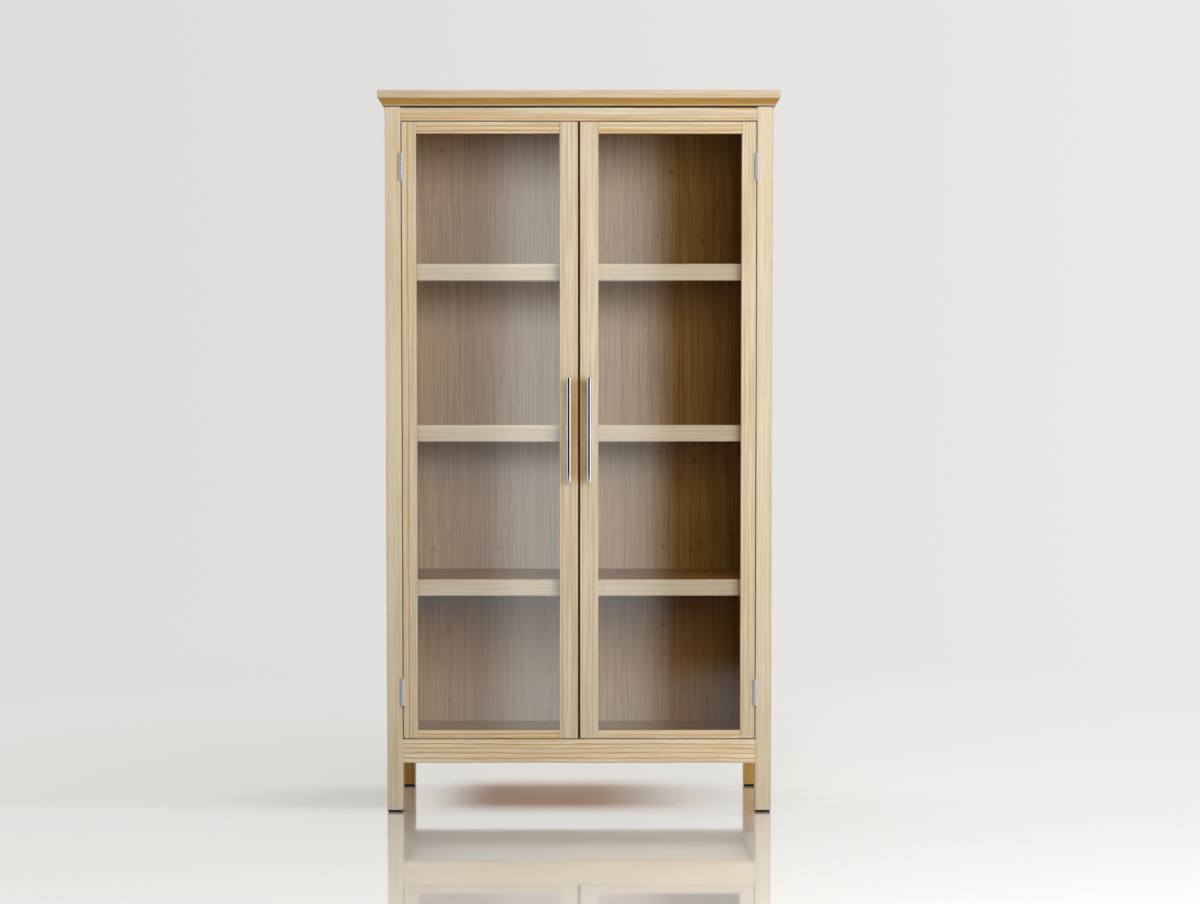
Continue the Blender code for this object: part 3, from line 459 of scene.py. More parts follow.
# How each kind of board was cut. The first start of a node's name that fits counts. Every kind
# of wood but plain adds painted shade, and an edge darkens the faces in the gaps as painted shade.
FIGURES = {
    "post_rear": dict(along=Z, ring=0.0070, strength=0.9, wander=0.002, wood="amber"),
    "post_front_left": dict(along=Z, ring=0.0085, strength=0.34, wander=0.002, pith=(0.06, 0.05),
                            tone=1.03, streaks=0.36, warm=0.5, edge=(X, 1)),
    "post_front_right": dict(along=Z, ring=0.0085, strength=0.24, wander=0.002, pith=(0.06, 0.05),
                             streaks=0.28, warm=0.2, edge=(X, -1)),
    "hinge_stile": dict(along=Z, ring=0.0090, strength=0.34, wander=0.0015, pith=(0.055, 0.035),
                        edge=(X, 0)),
    "meeting_stile": dict(along=Z, ring=0.0090, strength=0.30, wander=0.0015, pith=(0.06, 0.04),
                          warm=0.4, edge=(X, 0)),
    "door_rail_top": dict(along=X, ring=0.0095, strength=0.75, wander=0.002, pith=(0.03, 0.045),
                          tone=0.98, edge=(Z, -1)),
    # A tone above 1: painted light, so that the low rails look as lit as those higher up.
    "door_rail": dict(along=X, ring=0.0095, strength=0.95, wander=0.003, pith=(0.03, 0.045),
                      tone=1.15, edge=(Z, -1)),
    "head_rail": dict(along=X, ring=0.0105, strength=0.6, wander=0.003, pith=(0.035, 0.05),
                      tone=0.965, warm=1.0, streaks=0.5, edge=(Z, 0)),
    # A tone above 1: painted light, so that the low rail looks as lit as those higher up.
    "front_bottom": dict(along=X, ring=0.0110, strength=0.3, wander=0.0035, pith=(0.05, 0.05),
                         tone=1.20, streaks=0.45, edge=(Z, 1)),
    "rear_bottom": dict(along=X, ring=0.0090, strength=0.7, wander=0.002, pith=(0.05, 0.05)),
    "side_rail": dict(along=Y, ring=0.0090, strength=0.7, wander=0.002, pith=(0.04, 0.05)),
    "top_slab": dict(along=X, ring=0.0050, strength=0.5, wander=0.002, pith=(0.05, 0.10), tone=0.90,
                     streaks=0.3),
    "cornice_front": dict(along=X, ring=0.0050, strength=0.9, wander=0.001, wood="cove"),
    "cornice_": dict(along=Y, ring=0.0050, strength=0.9, wander=0.001, wood="cove"),
    "shelf": dict(along=X, ring=0.0058, strength=0.45, wander=0.002, pith=(0.05, 0.12),
                  wood="shelf", tone=1.09, warm=0.3),
    "bottom_board": dict(along=X, ring=0.008, strength=0.5, wander=0.006, wood="seat", tone=1.15),
    "ceiling": dict(along=X, ring=0.008, strength=0.5, wander=0.006, wood="inner"),
    "side_panel": dict(along=Z, ring=0.0050, strength=0.5, wander=0.004, pith=(0.03, 0.05),
                       lean=(0.002, 0.012), leaves=True, knots=0.3, wood="inner", streaks=0.4,
                       stain=0.62, fine=240),
    "back_panel": dict(along=Z, ring=0.0052, strength=0.8, wander=0.0035, pith=(0.03, 0.05),
                       lean=(0.002, 0.012), leaves=True, knots=0.35, wood="inner", streaks=0.52,
                       stain=0.42, fine=240),
    "glazing_bead": dict(along=Z, ring=0.007, strength=0.5, wander=0.002, mitred=True),
}

# Single strong growth lines: how far across from the board's middle, how wide, and how dark.
VEINS = {
    "hinge_stile_left": ((-0.0030, 0.0030, 1.0), (0.0075, 0.0016, 0.4)),
    "hinge_stile_right": ((0.0010, 0.0022, 0.6), (-0.0090, 0.0016, 0.4)),
    "meeting_stile_left": ((-0.0150, 0.0034, 0.6),),
    "post_front_right": ((0.0172, 0.0026, 0.6), (-0.0140, 0.0020, 0.4)),
    "head_rail": ((-0.0036, 0.0032, 0.9), (0.0040, 0.0020, 0.5)),
    "door_rail_top_left": ((0.0036, 0.0040, 1.0), (-0.0073, 0.0042, 1.0)),
    "door_rail_top_right": ((0.0040, 0.0034, 0.8), (-0.0068, 0.0040, 0.95)),
    "door_rail_bottom_left": ((0.0024, 0.0032, 0.9), (-0.0050, 0.0022, 0.6)),
    "door_rail_bottom_right": ((0.0010, 0.0026, 0.6),),
    "front_bottom_rail": (
        (0.0185, 0.0028, 0.9), (0.0087, 0.0028, 0.85), (-0.0034, 0.0030, 0.9),
        (-0.0168, 0.0028, 0.9), (-0.0268, 0.0026, 0.75),
    ),
}

# Knots of the back panel that show through the panes: x, height above the floor, radius.
BACK_KNOTS = (
    (-0.357, 1.659, 0.0036), (-0.380, 1.361, 0.0030), (-0.270, 0.955, 0.0028),
    (-0.197, 0.853, 0.0030), (-0.291, 0.835, 0.0026), (-0.184, 0.785, 0.0034),
    (-0.380, 0.782, 0.0026), (-0.210, 0.624, 0.0032), (-0.382, 0.621, 0.0034),
    (-0.344, 0.407, 0.0044), (-0.341, 0.222, 0.0028), (-0.173, 0.222, 0.0026),
    (0.238, 1.603, 0.0046), (0.204, 1.437, 0.0028), (0.322, 1.424, 0.0030),
    (0.208, 0.874, 0.0030), (0.303, 0.850, 0.0028), (0.267, 0.808, 0.0026),
    (0.219, 0.628, 0.0030), (0.293, 0.620, 0.0032), (0.099, 0.560, 0.0028),
    (0.219, 0.421, 0.0034),
)


def board_of(node):
    """The board of a wooden node, or None."""
    for start, figure in FIGURES.items():
        if node.startswith(start):
            return Board(node, **figure)
    return None


# The noises in the grain, as cells in a metre: across, deep and along.
DRIFT = (11, 11, 1.5)
RIPPLE = (60, 60, 12)
FIBRE = (480, 480, 36)
CLOUD = (38, 38, 7)
BAND = (70, 70, 1.4)
FLECK = (900, 900, 60)
STREAK_ALONG = 3.6

# Where in its range a noise starts to count, and where it counts in full.
STREAKS_AT = (0.45, 0.60)
CLOUDS_AT = (0.38, 0.66)
WARM_AT = (0.36, 0.62)
FLECKS_AT = (0.70, 0.80)

# By how many years the rings lie unevenly, and when in a year the late wood comes and goes.
UNEVEN_YEARS = 2.2
LATE_COMES = (0.62, 0.86)
LATE_GOES = (0.92, 1.0)

# What the wood's colour is multiplied by: in clouds, flecks and fibres, on end grain, from leaf to
# leaf of a veneer, and round a knot.
CLOUD_TINT = (0.84, 0.76, 0.64)
FLECK_TINT = (0.55, 0.40, 0.26)
FIBRE_TINT = (0.80, 0.76, 0.70)
END_TINT = (0.74, 0.62, 0.46)
LEAF_TINT = (0.80, 0.70, 0.56)
HALO_TINT = (0.78, 0.55, 0.28)

# How far the noises shift from leaf to leaf, how far a knot pushes the rings aside, how much longer
# than wide a knot is, and the least and the further radius of a scattered one.
LEAF_SHIFT = 0.31
KNOT_PUSH = 0.009
KNOT_STRETCH = 1.3
KNOT_LEAST = 0.0012
KNOT_MORE = 0.0022

# How squarely a face looks along an axis where it starts to count, and where it counts in full.
SQUARELY = (0.75, 0.98)
MOSTLY = (0.5, 0.9)
ROUGHLY = (0.3, 0.8)

# The painted shadow of the handle bars: how far left of the gap its middle lies, where it starts
# to fade and where it ends sideways, how strong it is, and the same two places past the bars' ends.
BAR_SHADOW_LEFT = 0.004
BAR_SHADOW_WIDE = (0.014, 0.034)
BAR_SHADOW_MOST = 0.85
BAR_SHADOW_ENDS = (-0.018, 0.016)

# The painted shade in the joints and at the feet, in metres from an arris or a foot: full up to
# the first, none past the second.
ARRIS = (0.0004, 0.0020)
CORNICE_FOOT = (0.0012, 0.0024)
LEG_FOOT = (0.0008, 0.0020)


class Grain:
    """Where each point of a board's surface lies in its log, and what the wood is like there.

    Across, deep and along are in metres from the middle of the board, or of its leaf.
    """

    def __init__(self, sheet, board, look):
        self.sheet, self.board, self.look = sheet, board, look
        self.place = sheet.split(sheet.place())
        self.facing = sheet.split(sheet.node("TexCoord", output="Normal"))
        self.lay_out()
        shift = self.leaf * LEAF_SHIFT
        straight = sheet.join(self.across + shift, self.deep, self.along)
        drift = sheet.split(self.noise(straight, DRIFT, 2, 0.5, "Color"))
        ripple = sheet.split(self.noise(straight, RIPPLE, 2, 0.5, "Color"))
        sway, wave = 4 * board.wander, 2 * board.wander
        waved = self.across + (ripple[0] - 0.5) * wave
        self.level = waved + (drift[0] - 0.5) * sway
        u = self.level + self.along * board.lean[0] - board.pith[0]
        v = self.deep + (drift[1] - 0.5) * sway + (ripple[1] - 0.5) * wave - board.pith[1]
        reach = sheet.distance(u, v + self.along * board.lean[1])
        if board.knots:
            self.beside_knot = self.nearest_knot()
            reach = reach - sheet.fall(self.beside_knot, 0.0, 5.0) * KNOT_PUSH
        self.late = self.growth_lines(reach / board.ring)
        wavy = sheet.join(waved + shift, self.deep, self.along)
        streak = self.noise(wavy, (board.fine, board.fine, STREAK_ALONG), 3, 0.6)
        self.line = sheet.ramp(streak, *STREAKS_AT) * board.streaks
        self.fibre = self.noise(straight, FIBRE, 4, 0.6)
        self.cloud = self.noise(straight, CLOUD, 3, 0.6)
        self.warmth = sheet.ramp(self.noise(straight, BAND, 2), *WARM_AT)
        self.fleck = sheet.ramp(self.noise(straight, FLECK, 1), *FLECKS_AT) * 0.30
        if board.wood == "inner":
            thin = board.axes[1]
            outer = board.middle[thin] > (CAD_BOX[0][thin] + CAD_BOX[1][thin]) / 2
            self.inward = self.looks(thin, -1 if outer else 1, ROUGHLY)
            self.line = self.line * (self.inward * 0.6 + 0.4)

    def lay_out(self):
        """Turns the place into across, deep and along the grain, and finds the leaf."""
        sheet, board, look = self.sheet, self.board, self.look
        local = [self.place[axis] - board.middle[axis] for axis in range(3)]
        self.across, self.deep, self.along = (local[axis] for axis in board.axes)
        self.leaf = 0.0
        if board.mitred:
            level = (board.half[Z] - abs(local[Z])) < (board.half[X] - abs(local[X]))
            self.across = self.across + level * (local[Z] - self.across)
            self.along = self.along + level * (local[X] - self.along)
        if board.leaves:
            self.leaf = sheet.floor(self.across / look.leaf)
            self.across = self.across - (self.leaf + 0.5) * look.leaf
            self.along = self.along + (sheet.chance(self.leaf + board.seed[0]) - 0.5) * look.leaf

    def noise(self, spot, scale, detail, roughness=0.5, output=0):
        """A noise at a spot of the grain, which differs from board to board."""
        scaled = self.sheet.scaled(spot, scale, self.board.seed)
        return self.sheet.noise(scaled, detail, roughness, output)

    def looks(self, axis, way, squareness):
        """1 where the face looks along an axis, forwards (1), backwards (-1) or either way (0)."""
        towards = self.facing[axis] * way if way else abs(self.facing[axis])
        return self.sheet.ramp(towards, *squareness)

    def nearest_knot(self):
        """The distance of the nearest knot, in its own radii.

        The knots lie scattered over the board. The back panel also has those that show through
        the panes.
        """
        sheet, board = self.sheet, self.board
        wide, long = self.look.leaf, self.look.knot_spacing
        spread = sheet.join(self.across / wide + self.leaf, self.along / long + board.seed[1], 0.0)
        cells = sheet.node(
            "TexVoronoi", {"voronoi_dimensions": "2D"}, {"Vector": spread, "Scale": 1.0}, "Position"
        )
        chances = sheet.split(cells.other("Color"))
        here, there = sheet.split(spread), sheet.split(cells)
        ahead = (here[1] - there[1]) * long / KNOT_STRETCH
        radius = (chances[0] < board.knots) * (chances[1] * KNOT_MORE + KNOT_LEAST)
        away = sheet.distance((here[0] - there[0]) * wide, ahead)
        nearest = away / sheet.largest(radius, 0.00005)
        if board.node == "back_panel":
            x, _, z = self.place
            for knot_x, height, size in BACK_KNOTS:
                beside = sheet.distance(x - knot_x, (z - height) / KNOT_STRETCH)
                nearest = sheet.smallest(nearest, beside / size)
        return nearest

    def growth_lines(self, years):
        """How much late wood there is: at the end of each uneven year, and in the single veins."""
        sheet, board = self.sheet, self.board
        uneven = sheet.noise(sheet.join(years * 0.37 + board.seed[2], 0.0, 0.0), 1)
        years = years + uneven * UNEVEN_YEARS
        year = sheet.floor(years)
        season = years - year
        vigour = sheet.chance(year + board.seed[1])
        late = sheet.ramp(season, *LATE_COMES) * sheet.fall(season, *LATE_GOES)
        late = late * (vigour * 0.75 + 0.25) * board.strength
        for middle, width, dark in board.veins:
            beside = self.level - middle
            vein = sheet.ramp(beside, -width, -0.3 * width) * sheet.fall(beside, 0.0, 0.4 * width)
            late = sheet.largest(late, vein * dark)
        return late


def cornice_painted_shade(grain, shade):
    """Painted shade: darker up under the slab, and dark on the faces that look down and in the
    gap at the foot.
    """
    sheet, half = grain.sheet, grain.board.half[Z]
    up = grain.place[Z] - grain.board.middle[Z]
    shade = sheet.tint(sheet.ramp(up, -1.5 * half, 0.2 * half), shade, grain.look.cove)
    foot = sheet.fall(up, *(place - half for place in CORNICE_FOOT))
    below = sheet.largest(grain.looks(Z, -1, (0.9, 0.99)), foot * 0.9)
    return sheet.mix(below, shade, grain.look.gap)


def shelf_painted_shade(grain, shade):
    """Pale on the front of the lip, and browner elsewhere as painted shade."""
    front = grain.looks(Y, -1, MOSTLY)
    shade = grain.sheet.mix(front * 0.35, shade, grain.look.lip)
    return grain.sheet.tint(1 - front, shade, grain.look.seat)


def seat_painted_shade(grain, shade):
    """Browner on top, as painted shade."""
    return grain.sheet.tint(grain.looks(Z, 1, MOSTLY), shade, grain.look.seat)


def inner_painted_shade(grain, shade):
    """Painted shade: browner on the face that looks into the cabinet."""
    return grain.sheet.tint(grain.inward, shade, grain.look.inner)


def rear_leg_painted_shade(grain, shade):
    """Painted shade: amber on the leg's inner and front faces, below the body."""
    sheet, board = grain.sheet, grain.board
    inward = grain.looks(X, -1 if board.middle.x > 0 else 1, ROUGHLY)
    inward = sheet.largest(inward, grain.looks(Y, -1, ROUGHLY))
    leg = sheet.fall(grain.place[Z], 0.115, 0.150)
    return sheet.tint(inward * leg, shade, grain.look.amber)


def knotty_shade(grain, shade):
    """Knots with rings of their own, each in a darker halo."""
    sheet, look, beside = grain.sheet, grain.look, grain.beside_knot
    shade = sheet.tint(sheet.fall(beside, 0.9, 3.0) * 0.6, shade, HALO_TINT)
    rings = sheet.math("SINE", beside * 14) * 0.5 + 0.5
    core = sheet.mix(rings * 0.4, look.knot, times(look.knot, 1.8))
    return sheet.mix(sheet.fall(beside, 0.55, 1.1) * 0.85, shade, core)


def bar_and_arris_painted_shade(grain, shade):
    """Painted shade at the arris of the gap, and the bars' painted shadow on the front.

    That shadow lies round the handle bars and a little to the left.
    """
    sheet, look, board = grain.sheet, grain.look, grain.board
    x, _, z = grain.place
    arris = sheet.fall(abs(x) - (abs(board.middle.x) - board.half.x), *ARRIS)
    shade = sheet.tint(arris * 0.75, shade, look.painted_gap_shade)
    bar, half = middle_of("handle_bar_left"), size_of("handle_bar_left").z / 2
    patch = sheet.ramp(abs(x + BAR_SHADOW_LEFT), *BAR_SHADOW_WIDE, BAR_SHADOW_MOST, 0.0)
    patch = patch * sheet.fall(abs(z - bar.z), *(half + past for past in BAR_SHADOW_ENDS))
    patch = patch * (grain.cloud * 0.6 + 0.6) * grain.looks(Y, -1, MOSTLY)
    return sheet.tint(sheet.clamp(patch), shade, look.painted_bar_shadow)


def foot_painted_shade(grain, shade):
    """Painted shade at the very foot, over the pad."""
    up = grain.place[Z] - (grain.board.middle.z - grain.board.half.z)
    return grain.sheet.mix(grain.sheet.fall(up, *LEG_FOOT), shade, grain.look.gap)


# The painted shade that belongs to a kind of wood, and that which belongs to a kind of board; the
# shelves also get pale lips.
WOOD_PAINTED_SHADES = {
    "cove": cornice_painted_shade, "shelf": shelf_painted_shade, "seat": seat_painted_shade, "inner": inner_painted_shade,
    "amber": rear_leg_painted_shade,
}
BOARD_PAINTED_SHADES = {"meeting_stile": bar_and_arris_painted_shade, "post_": foot_painted_shade}


def pine(board, look):
    """The pine of one board: rings round its log's pith, fibres, resin flecks, knots, end grain."""
    made, sheet, shader = material("pine_" + board.node)
    grain = Grain(sheet, board, look)
    early, heart = times(look.early, board.tone), times(look.heart, board.tone)
    shade = sheet.mix(grain.warmth * board.warm, early, heart)
    shade = sheet.mix(grain.line, shade, times(heart, board.stain))
    shade = sheet.tint(sheet.ramp(grain.cloud, *CLOUDS_AT) * 0.22, shade, CLOUD_TINT)
    shade = sheet.mix(sheet.clamp(grain.late), shade, look.late)
    shade = sheet.tint(grain.fleck, shade, FLECK_TINT)
    shade = sheet.tint(grain.fibre * 0.62, shade, FIBRE_TINT)
    shade = sheet.tint(grain.looks(board.axes[2], 0, SQUARELY) * 0.55, shade, END_TINT)
    # Painted shade on the faces that look into the gaps.
    if board.edge:
        shade = sheet.tint(grain.looks(*board.edge, SQUARELY), shade, look.painted_gap_shade)
    if board.leaves:
        shade = sheet.tint(sheet.chance(grain.leaf + board.seed[2]) * 0.16, shade, LEAF_TINT)
    # Painted shade for most kinds of wood, and for the meeting stiles and the posts.
    if board.wood in WOOD_PAINTED_SHADES:
        shade = WOOD_PAINTED_SHADES[board.wood](grain, shade)
    if board.knots:
        shade = knotty_shade(grain, shade)
    for start_of_name, painted_shade_of_board in BOARD_PAINTED_SHADES.items():
        if board.node.startswith(start_of_name):
            shade = painted_shade_of_board(grain, shade)

    sheet.feed(shader["Base Color"], shade)
    roughness = grain.fibre * 0.14 - grain.late * 0.10 + (look.roughness - 0.04)
    sheet.feed(shader["Roughness"], roughness)
    height = grain.fibre * 0.6 + grain.late * 0.5 - grain.fleck
    sheet.feed(shader["Normal"], sheet.bump(height, look.relief))
    shader["Specular IOR Level"].default_value = 0.42
    shader["Coat Weight"].default_value = 0.12
    shader["Coat Roughness"].default_value = 0.32
    return made


# Other finishes


# The fine lines in the steel, as cells in a metre: across them, and along them.
LINES_ACROSS = 1900.0
LINES_ALONG = 9.0


def steel(name, colour_of, roughness, along, brushing, lustre=1.0):
    """Steel with fine lines drawn along one axis."""
    made, sheet, shader = material(name)
    stretch = [LINES_ACROSS] * 3
    stretch[along] = LINES_ALONG
    lines = sheet.spots(stretch, 3, 0.6)
    haze = sheet.spots((34, 34, 34), 3, 0.6)
    tone = sheet.mix(haze * 0.5 + lines * 0.2, colour_of, times(colour_of, 0.82))
    sheet.feed(shader["Base Color"], tone)
    sheet.feed(shader["Roughness"], lines * 0.04 + haze * 0.05 + (roughness - 0.04))
    sheet.feed(shader["Normal"], sheet.bump(lines, brushing))
    shader["Metallic"].default_value = lustre
    return made


def zinc_plated(name, along, look):
    """The zinc-plated steel of the hinges, screws and plates."""
    return steel(name, look.zinc, look.rolled, along, look.brushing, look.lustre)


def pane_glass(head_on):
    """Clear float glass, as a thin pane: each face mirrors a little, and the rest goes through."""
    made, sheet, shader = material("float_glass")
    smears = sheet.spots((7, 7, 11), 4, 0.65)
    waves = sheet.spots((2.2, 2.2, 2.2), 1)
    shader["Base Color"].default_value = (0.97, 0.98, 0.975, 1)
    shader["Metallic"].default_value = 1.0
    sheet.feed(shader["Roughness"], sheet.ramp(smears, 0.45, 0.8, 0.01, 0.04))
    sheet.feed(shader["Normal"], sheet.bump(waves, 0.0002))
    clear = sheet.node("BsdfTransparent", None, {"Color": (0.97, 0.95, 0.92)})
    slant = sheet.node("LayerWeight", None, {"Blend": 0.5}, "Facing")
    mirrored = slant ** 5 * (1 - head_on) + head_on
    sheet.surface(sheet.mix_shaders(mirrored, clear, sheet.principled()))
    return made


def soft_black(name, level, roughness, grain_size, dusty=0.35, gloss=0.5):
    """Matt black rubber or plastic with a fine grain and a little dust."""
    made, sheet, shader = material(name)
    grain = sheet.spots((grain_size,) * 3, 3, 0.6)
    dust = sheet.spots((90, 90, 90), 4, 0.7)
    dusted = tuple(c * 2.4 + 0.01 for c in level)
    sheet.feed(shader["Base Color"], sheet.mix(sheet.ramp(dust, 0.5, 0.75) * dusty, level, dusted))
    sheet.feed(shader["Roughness"], grain * 0.16 + (roughness - 0.08))
    sheet.feed(shader["Normal"], sheet.bump(grain, 0.00005))
    shader["Specular IOR Level"].default_value = gloss
    return made


def paint_node(node, finish):
    """Gives a node of the frame its finish."""
    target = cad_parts[node]
    target.data.materials.clear()
    target.data.materials.append(finish)


# Modelling by hand


def start():
    """Leaves nothing selected, so that the next operator acts on the new piece alone."""
    if bpy.context.object and bpy.context.object.mode != "OBJECT":
        bpy.ops.object.mode_set(mode="OBJECT")
    bpy.ops.object.select_all(action="DESELECT")


def edit():
    bpy.ops.object.mode_set(mode="EDIT")


def take(made):
    """Selects one piece alone, for the next operator."""
    start()
    made.select_set(True)
    bpy.context.view_layer.objects.active = made


def select(kind, test):
    """In edit mode, selects the vertices, edges or faces that pass a test, and only those."""
    bpy.ops.mesh.select_all(action="DESELECT")
    bpy.ops.mesh.select_mode(type=kind)
    mesh = bpy.context.object.data
    shape = bmesh.from_edit_mesh(mesh)
    for item in {"VERT": shape.verts, "EDGE": shape.edges, "FACE": shape.faces}[kind]:
        item.select_set(test(item))
    shape.select_flush_mode()
    bmesh.update_edit_mesh(mesh)


def select_faces(axis, way):
    """In edit mode, selects the faces that look along an axis, forwards (1) or backwards (-1)."""
    select("FACE", lambda face: face.normal[axis] * way > 0.9)


def extrude(*move):
    """In edit mode, extrudes what is selected."""
    bpy.ops.mesh.extrude_region_move(TRANSFORM_OT_translate={"value": move})


def smooth(angle=35):
    """Shades the active object smooth, apart from its edges sharper than an angle."""
    bpy.ops.object.shade_smooth_by_angle(angle=math.radians(angle))


def edge_middle(edge):
    return (edge.verts[0].co + edge.verts[1].co) / 2


def settle():
    """Moves the active object's place, turn and size into its mesh."""
    if bpy.context.object.mode != "OBJECT":
        bpy.ops.object.mode_set(mode="OBJECT")
    bpy.ops.object.transform_apply(location=True, rotation=True, scale=True)
    return bpy.context.object


def cut(target, cutter):
    """Cuts a piece with another, which is then removed."""
    take(target)
    change = target.modifiers.new("cut", "BOOLEAN")
    change.operation = "DIFFERENCE"
    change.object = cutter
    bpy.ops.object.modifier_apply(modifier=change.name)
    bpy.data.objects.remove(cutter)


def round_off(width, segments=2):
    """Eases the sharp edges of the active object."""
    change = bpy.context.object.modifiers.new("ease", "BEVEL")
    change.width = width
    change.segments = segments
    change.angle_limit = math.radians(35)
    bpy.ops.object.modifier_apply(modifier=change.name)
    smooth()


def add_piece(name, made, body, finish, replaced=()):
    """Names a finished piece, gives it its finish, and lets it ride on its body."""
    made.name = name
    made.data.name = name
    made.data.materials.clear()
    made.data.materials.append(finish)
    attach(made, body)
    if replaced:
        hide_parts(*replaced)
    return made


def copy_placed(model, matrix):
    """A copy of a model with its own mesh, moved into place, and turned the right way round."""
    made = model.copy()
    made.data = model.data.copy()
    bpy.context.scene.collection.objects.link(made)
    made.data.transform(matrix)
    if matrix.determinant() < 0:
        made.data.flip_normals()
    return made


def join_all(pieces):
    take(pieces[0])
    for piece in pieces:
        piece.select_set(True)
    if len(pieces) > 1:
        bpy.ops.object.join()
    return pieces[0]


def raise_dome(rise, steps, flat=0.0, way=1):
    """In edit mode, raises the selected face into a dome. A share of its radius stays flat."""
    turns = [math.pi / 2 * step / steps for step in range(steps)]
    for last, turn in zip(turns, turns[1:]):
        lift = rise * (math.sin(turn) - math.sin(last))
        shrink = (flat + (1 - flat) * math.cos(turn)) / (flat + (1 - flat) * math.cos(last))
        extrude(0, 0, way * lift)
        bpy.ops.transform.resize(value=(shrink, shrink, 1))


def cut_cross(made, look, level, depth, tapered=False):
    """Cuts the cross for a screwdriver, as deep above as below a level on the Z axis."""
    for turn in range(2):
        start()
        bpy.ops.mesh.primitive_cube_add(
            size=1, location=(0, 0, level), rotation=(0, 0, turn * math.pi / 2)
        )
        cutter = bpy.context.object
        cutter.scale = (look.recess, look.recess * 0.24, depth)
        if tapered:
            edit()
            select_faces(Z, -1)
            bpy.ops.transform.resize(value=(0.45, 0.5, 1), center_override=(0, 0, 0))
        cut(made, settle())
    take(made)


def model_screw(look):
    """A countersunk screw head with a cross recess, its face at the origin, looking up +Z."""
    start()
    head, shank = look.screw_head / 2, look.screw_shank / 2
    sunk = head - shank
    bpy.ops.mesh.primitive_cone_add(
        vertices=32, radius1=shank, radius2=head, depth=sunk, location=(0, 0, -sunk / 2)
    )
    edit()
    select_faces(Z, -1)
    extrude(0, 0, -2 * shank)
    select_faces(Z, 1)
    bpy.ops.mesh.inset(thickness=head * 0.12, depth=SCREW_FACE)
    made = settle()
    cut_cross(made, look, 0, look.recess * 0.9, tapered=True)
    smooth()
    return made


def model_pan_screw(look):
    """A pan-head screw on a washer, its washer lying on the origin's plane, looking up +Z."""
    start()
    thick = look.washer_thickness
    bpy.ops.mesh.primitive_cylinder_add(
        vertices=40, radius=look.washer / 2, depth=thick, location=(0, 0, thick / 2)
    )
    edit()
    select_faces(Z, 1)
    bpy.ops.mesh.inset(thickness=(look.washer - look.pan_head) / 2, depth=0)
    raise_dome(look.pan_height, 7, flat=0.55)
    made = settle()
    cut_cross(made, look, thick + look.pan_height, look.pan_height)
    smooth(30)
    return made


def screw_heights(look, height):
    """The heights of the screws of a leaf, from its middle."""
    count = look.leaf_screws
    return [height / count * (i - (count - 1) / 2) for i in range(count)]


def model_hinge_leaf(look, width, height, radius, first):
    """A leaf of a rolled butt hinge, its pin on the Z axis and its plate on the +X side.

    The plate is a flat strip from the pin back along +Y. Every other knuckle, counted from the
    foot, is the same strip rolled round the pin.
    """
    start()
    thickness = look.leaf_thickness
    offset = (look.leaf_gap + thickness) / 2
    roll = radius - thickness / 2
    seam = math.sqrt(roll * roll - offset * offset)
    count = look.knuckles
    long = (height - (count - 1) * look.knuckle_gap) / count
    step = long + look.knuckle_gap
    ends = [-height / 2]
    for i in range(count - 1):
        ends += [-height / 2 + i * step + long, -height / 2 + (i + 1) * step]
    ends.append(height / 2)
    own = [(ends[2 * i], ends[2 * i + 1]) for i in range(first, count, 2)]
    clear = radius + look.knuckle_gap

    bpy.ops.mesh.primitive_plane_add(size=1, location=(0, 0, 0))
    edit()
    bpy.ops.mesh.select_all(action="SELECT")
    bpy.ops.mesh.delete(type="VERT")
    shape = bmesh.from_edit_mesh(bpy.context.object.data)
    rows = [[shape.verts.new((offset, y, z)) for y in (clear, width)] for z in ends]
    for low, high in zip(rows, rows[1:]):
        shape.faces.new((low[0], low[1], high[1], high[0]))
    bmesh.update_edit_mesh(bpy.context.object.data)

    def on_knuckle(edge):
        middle = edge_middle(edge)
        upright = abs(edge.verts[0].co.z - edge.verts[1].co.z) > long / 2
        return upright and middle.y < clear + 1e-6 and any(a < middle.z < b for a, b in own)

    select("EDGE", on_knuckle)
    extrude(0, seam - clear, 0)
    bpy.ops.mesh.spin(
        steps=28, angle=math.radians(318), center=(0, 0, 0), axis=(0, 0, 1), dupli=False
    )
    bpy.ops.mesh.select_all(action="SELECT")
    bpy.ops.mesh.remove_doubles(threshold=0.00002)
    bpy.ops.mesh.normals_make_consistent(inside=False)
    made = settle()
    wall = made.modifiers.new("wall", "SOLIDIFY")
    wall.thickness = thickness
    wall.offset = 0
    bpy.ops.object.modifier_apply(modifier=wall.name)
    for up in screw_heights(look, height):
        start()
        bpy.ops.mesh.primitive_cone_add(
            vertices=32, radius1=look.screw_head / 2 + HAIR, radius2=look.screw_shank / 2,
            depth=thickness + 4 * HAIR, location=(offset, look.screw_edge, up),
            rotation=(0, math.pi / 2, 0),
        )
        cut(made, settle())
    take(made)
    round_off(0.00018)
    return made


def model_hinge_pin(radius, head, height, rise):
    """A pin on the Z axis with a low dome at each end."""
    start()
    bpy.ops.mesh.primitive_cylinder_add(vertices=32, radius=radius, depth=height)
    edit()
    for way in (-1, 1):
        select_faces(Z, way)
        extrude(0, 0, 0)
        bpy.ops.transform.resize(value=(head / radius, head / radius, 1))
        raise_dome(rise, 5, way=way)
    made = settle()
    smooth(50)
    return made


# Operators


class CABINET_OT_wood(bpy.types.Operator):
    """Give every wooden board its own pine"""

    bl_idname = "cabinet.wood"
    bl_label = "Finish the wood"

    def execute(self, context):
        look = context.scene.cabinet_wood
        for node in sorted(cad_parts):
            board = board_of(node)
            if board:
                paint_node(node, pine(board, look))
        return {"FINISHED"}


